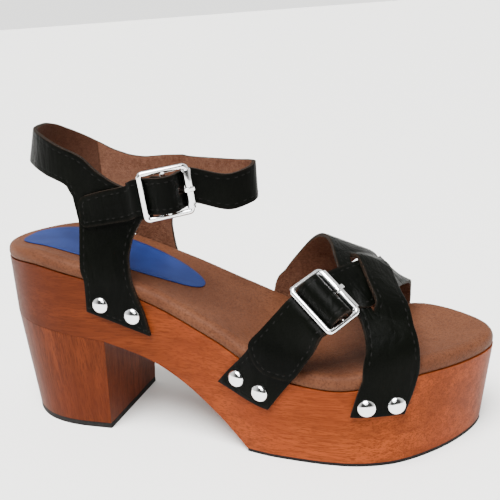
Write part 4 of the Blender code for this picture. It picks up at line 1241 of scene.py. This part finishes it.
def wire_frame(place, long, wide):
    """Round wire swept round a rectangle with rounded corners."""
    bm = bmesh.new()
    half_u, half_w = (long - WIRE) / 2, (wide - WIRE) / 2
    section = bar_section(bm, WIRE / 2)
    bmesh.ops.rotate(bm, verts=section, cent=(0, 0, 0), matrix=Matrix.Rotation(pi / 2, 3, "X"))
    bmesh.ops.translate(bm, verts=section, vec=(half_u, CORNER - half_w, 0))
    ring = list({e for v in section for e in v.link_edges})
    for corner in range(4):
        run = 2 * (half_w if corner % 2 == 0 else half_u) - 2 * CORNER
        ahead = Matrix.Rotation(corner * pi / 2, 3, "Z") @ Vector((0, run, 0))
        made = bmesh.ops.extrude_edge_only(bm, edges=ring)["geom"]
        points = [g for g in made if isinstance(g, bmesh.types.BMVert)]
        bmesh.ops.translate(bm, verts=points, vec=ahead)
        ring = [g for g in made if isinstance(g, bmesh.types.BMEdge)
                and all(v in points for v in g.verts)]
        centre = Vector(((half_u - CORNER) * (1 if corner in (0, 3) else -1),
                         (half_w - CORNER) * (1 if corner in (0, 1) else -1), 0))
        made = bmesh.ops.spin(bm, geom=ring + points, cent=centre, axis=(0, 0, 1),
                              angle=pi / 2, steps=6)["geom_last"]
        ring = [g for g in made if isinstance(g, bmesh.types.BMEdge)]
    face_outwards(bm)
    bar = bmesh.ops.create_cone(bm, cap_ends=True, segments=20, radius1=BAR / 2,
                                radius2=BAR / 2, depth=wide - WIRE,
                                matrix=Matrix.Rotation(pi / 2, 4, "X"))
    bmesh.ops.transform(bm, matrix=place.matrix(), verts=bm.verts)
    return bm


def roller(place, reach, length):
    """Tube that spins on the roller bar, with rolled ends."""
    bm = bmesh.new()
    made = bmesh.ops.create_grid(bm, x_segments=1, y_segments=1, size=1)["verts"]
    for v in made:
        v.co = ((ROLLER_BORE, ROLLER_RADIUS)[v.co.x > 0], v.co.y * length / 2, 0)
    bmesh.ops.bevel(bm, geom=bm.verts[:], offset=0.15 * MM, offset_type="OFFSET", segments=2,
                    affect="VERTICES", profile=0.5, material=-1)
    bmesh.ops.spin(bm, geom=bm.verts[:] + bm.edges[:], cent=(0, 0, 0), axis=(0, 1, 0),
                   angle=2 * pi, steps=28, use_merge=True)
    flat = [f for f in bm.faces if all(abs(v.co.z) < 1e-8 and v.co.x > 0 for v in f.verts)]
    bmesh.ops.delete(bm, geom=flat, context="FACES_ONLY")
    face_outwards(bm)
    bmesh.ops.translate(bm, verts=bm.verts, vec=(reach, 0, 0))
    bmesh.ops.transform(bm, matrix=place.matrix(), verts=bm.verts)
    return bm


def prong(place, reach):
    """Bent strip: a ring round the middle bar, then out through the strap to the roller."""
    ring = WIRE / 2 + BAR_GAP + PRONG_THICK
    path = [(ring * cos(radians(a)), ring * sin(radians(a))) for a in range(90, 316, 45)]
    rise = ROLLER_RADIUS + 1.5 * FIT
    path += [PRONG_LEAVES, ((PRONG_LEAVES[0] + reach) / 2, PRONG_MIDDLE),
             (reach - PRONG_KNEE, rise), (reach, rise),
             (reach + PRONG_TIP[0], rise + PRONG_TIP[1])]
    rows = smooth_rows([[place.at(u, w * PRONG_HALF, k) for w in (-1, -0.5, 0, 0.5, 1)]
                        for u, k in path], 6)
    bm = bmesh.new()
    lay(bm, rows)
    return bm


def buckle(name, place, long, wide):
    reach = (long - WIRE) / 2
    dressed(name + "_wire", wire_frame(place, long, wide), CHROME,
            [name + "_frame"], 50)
    dressed(name + "_tube", roller(place, reach, wide - 2 * WIRE - 2 * FIT), CHROME,
            [name + "_roller"], 50)
    tongue = dressed(name + "_tongue", prong(place, reach), CHROME,
                     [name + "_prong"], 50)
    wall = tongue.modifiers.new("wall", "SOLIDIFY")
    wall.thickness = PRONG_THICK
    wall.offset = 1
    rounded(tongue, 0.3 * MM, 3, 40)


buckle("ankle_buckle", ANKLE_PLACE, *ANKLE_BUCKLE)
buckle("vamp_buckle", VAMP_PLACE, *VAMP_BUCKLE)

# %% [markdown]
# ## Studs
# Each strap's foot is held by two nails with domed, polished heads. A dome is the upper half of
# a sphere, flattened, with a thin straight rim below it that sinks a little into the leather.

# %% Studs
STUD_RADIUS = 4.2 * MM
STUD_RISE = 2.4 * MM
STUD_SINK = 0.25 * MM
STUDS = (
    ("ankle_outer_rear", 0.269, 69 * MM, -1), ("ankle_outer_front", 0.335, 64 * MM, -1),
    ("ankle_inner_rear", 0.265, 69 * MM, 1), ("ankle_inner_front", 0.322, 65 * MM, 1),
    ("tab_rear", 0.550, 39 * MM, -1), ("tab_front", 0.597, 34 * MM, -1),
    ("front_outer_rear", 0.791, 31 * MM, -1), ("front_outer_front", 0.839, 31 * MM, -1),
    ("long_inner_rear", 0.740, 34 * MM, 1), ("long_inner_front", 0.792, 33 * MM, 1),
    ("front_inner_rear", 0.548, 42 * MM, 1), ("front_inner_front", 0.600, 38 * MM, 1),
)


def stud(name, x, height, side):
    k = 0 if side < 0 else 1
    slope = (sides(LENGTH * x + MM)[k] - sides(LENGTH * x - MM)[k]) / (2 * MM)
    out = Vector((-slope * side, side, 0)).normalized()
    seat = (TAB_LEATHER if "tab" in name else LEATHER) + FIT * 0.5
    bm = bmesh.new()
    bmesh.ops.create_uvsphere(bm, u_segments=36, v_segments=24, radius=STUD_RADIUS)
    bmesh.ops.bisect_plane(bm, geom=bm.verts[:] + bm.edges[:] + bm.faces[:],
                           plane_co=(0, 0, 0), plane_no=(0, 0, 1), clear_inner=True, dist=1e-6)
    bmesh.ops.scale(bm, verts=bm.verts, vec=(1, 1, STUD_RISE / STUD_RADIUS))
    rim_edges = [e for e in bm.edges if e.is_boundary]
    made = bmesh.ops.extrude_edge_only(bm, edges=rim_edges)["geom"]
    bmesh.ops.translate(bm, verts=[g for g in made if isinstance(g, bmesh.types.BMVert)],
                        vec=(0, 0, -STUD_SINK))
    bmesh.ops.holes_fill(bm, edges=[e for e in bm.edges if e.is_boundary])
    face_outwards(bm)
    spot = Vector((LENGTH * x, sides(LENGTH * x)[k], height)) + out * seat
    turn = Vector((0, 0, 1)).rotation_difference(out).to_matrix().to_4x4()
    bmesh.ops.transform(bm, matrix=Matrix.Translation(spot) @ turn, verts=bm.verts)
    return dressed("dome_" + name, bm, CHROME, ["stud_" + name], 50)


for row in STUDS:
    stud(*row)

# %% [markdown]
# ## Camera, floor and light
# The camera stands where the photographer stood, found from the sole's known sizes. The light
# is a large soft window above the near side, a small lamp and a pale room. The room is dark on
# the near side, as with a black cloth hung behind a photographer, so that the black leather
# mirrors nothing pale. What is seen of the room is paler than what lights the shoe.

# %% Camera
AZIMUTH, ELEVATION, ROLL = radians(18.65), radians(16.64), radians(-4.45)
DISTANCE = 409.8 * MM
FOCAL_PIXELS, FRAME_PIXELS = 814, 500
TARGET = Vector((96.2 * MM, 13.2 * MM, 83.0 * MM))

back = Vector((sin(AZIMUTH) * cos(ELEVATION), -cos(AZIMUTH) * cos(ELEVATION), sin(ELEVATION)))
right = (-back).cross(Vector((0, 0, 1))).normalized()
up = right.cross(-back)
turned_right = right * cos(ROLL) + up * sin(ROLL)
turned_up = up * cos(ROLL) - right * sin(ROLL)
lens = bpy.data.cameras.new("view")
lens.sensor_width = 36
lens.lens = 36 * FOCAL_PIXELS / FRAME_PIXELS
lens.clip_start = 0.01
camera = bpy.data.objects.new("view", lens)
bpy.context.scene.collection.objects.link(camera)
camera.matrix_world = (Matrix.Translation(TARGET + back * DISTANCE)
                       @ Matrix((turned_right, turned_up, back)).transposed().to_4x4())
bpy.context.scene.camera = camera
print("camera at", [round(c * 1000) for c in camera.matrix_world.translation])

# %% Floor and light
FLOOR_LOOK = Finish("pale_floor", Base_Color=(0.90, 0.895, 0.87, 1), Roughness=0.7)
bm = bmesh.new()
bmesh.ops.create_grid(bm, x_segments=1, y_segments=1, size=30)
mesh = bpy.data.meshes.new("floor")
bm.to_mesh(mesh)
bm.free()
mesh.materials.append(FLOOR_LOOK.made)
floor = bpy.data.objects.new("floor", mesh)
bpy.context.scene.collection.objects.link(floor)

DARK_SIDE = (0.30, 0.75)
ROOM_LIGHT, ROOM_SHADE, ROOM_SEEN = 1.2, 0.06, 2.3
world = bpy.data.worlds.new("pale room")
world.use_nodes = True
nodes, links = world.node_tree.nodes, world.node_tree.links
sky = nodes["Background"]
sky.inputs["Color"].default_value = (0.88, 0.88, 0.86, 1)
towards = nodes.new("ShaderNodeVectorMath")
towards.operation = "DOT_PRODUCT"
towards.inputs[1].default_value = back
links.new(nodes.new("ShaderNodeTexCoord").outputs["Generated"], towards.inputs[0])
shade = nodes.new("ShaderNodeMapRange")
for socket, number in zip(("From Min", "From Max", "To Min", "To Max"),
                          (*DARK_SIDE, ROOM_LIGHT, ROOM_SHADE)):
    shade.inputs[socket].default_value = number
links.new(towards.outputs["Value"], shade.inputs["Value"])
seen = nodes.new("ShaderNodeMix")
seen.inputs["B"].default_value = ROOM_SEEN
links.new(nodes.new("ShaderNodeLightPath").outputs["Is Camera Ray"], seen.inputs["Factor"])
links.new(shade.outputs["Result"], seen.inputs["A"])
links.new(seen.outputs["Result"], sky.inputs["Strength"])
bpy.context.scene.world = world


LIT_PLACE = Vector((0.09, 0, 0.06))


def soft_light(name, kind, place, size, power):
    light = bpy.data.lights.new(name, kind)
    if kind == "AREA":
        light.shape = "DISK"
        light.size = size
    else:
        light.angle = size
    light.energy = power
    lamp = bpy.data.objects.new(name, light)
    bpy.context.scene.collection.objects.link(lamp)
    lamp.location = place
    aim = LIT_PLACE - lamp.location
    lamp.rotation_euler = aim.to_track_quat("-Z", "Y").to_euler()


soft_light("window", "SUN", (0.05, -0.50, 1.2), radians(40), 11.0)
soft_light("room", "AREA", (0.3, -0.7, 0.6), 0.5, 4.0)
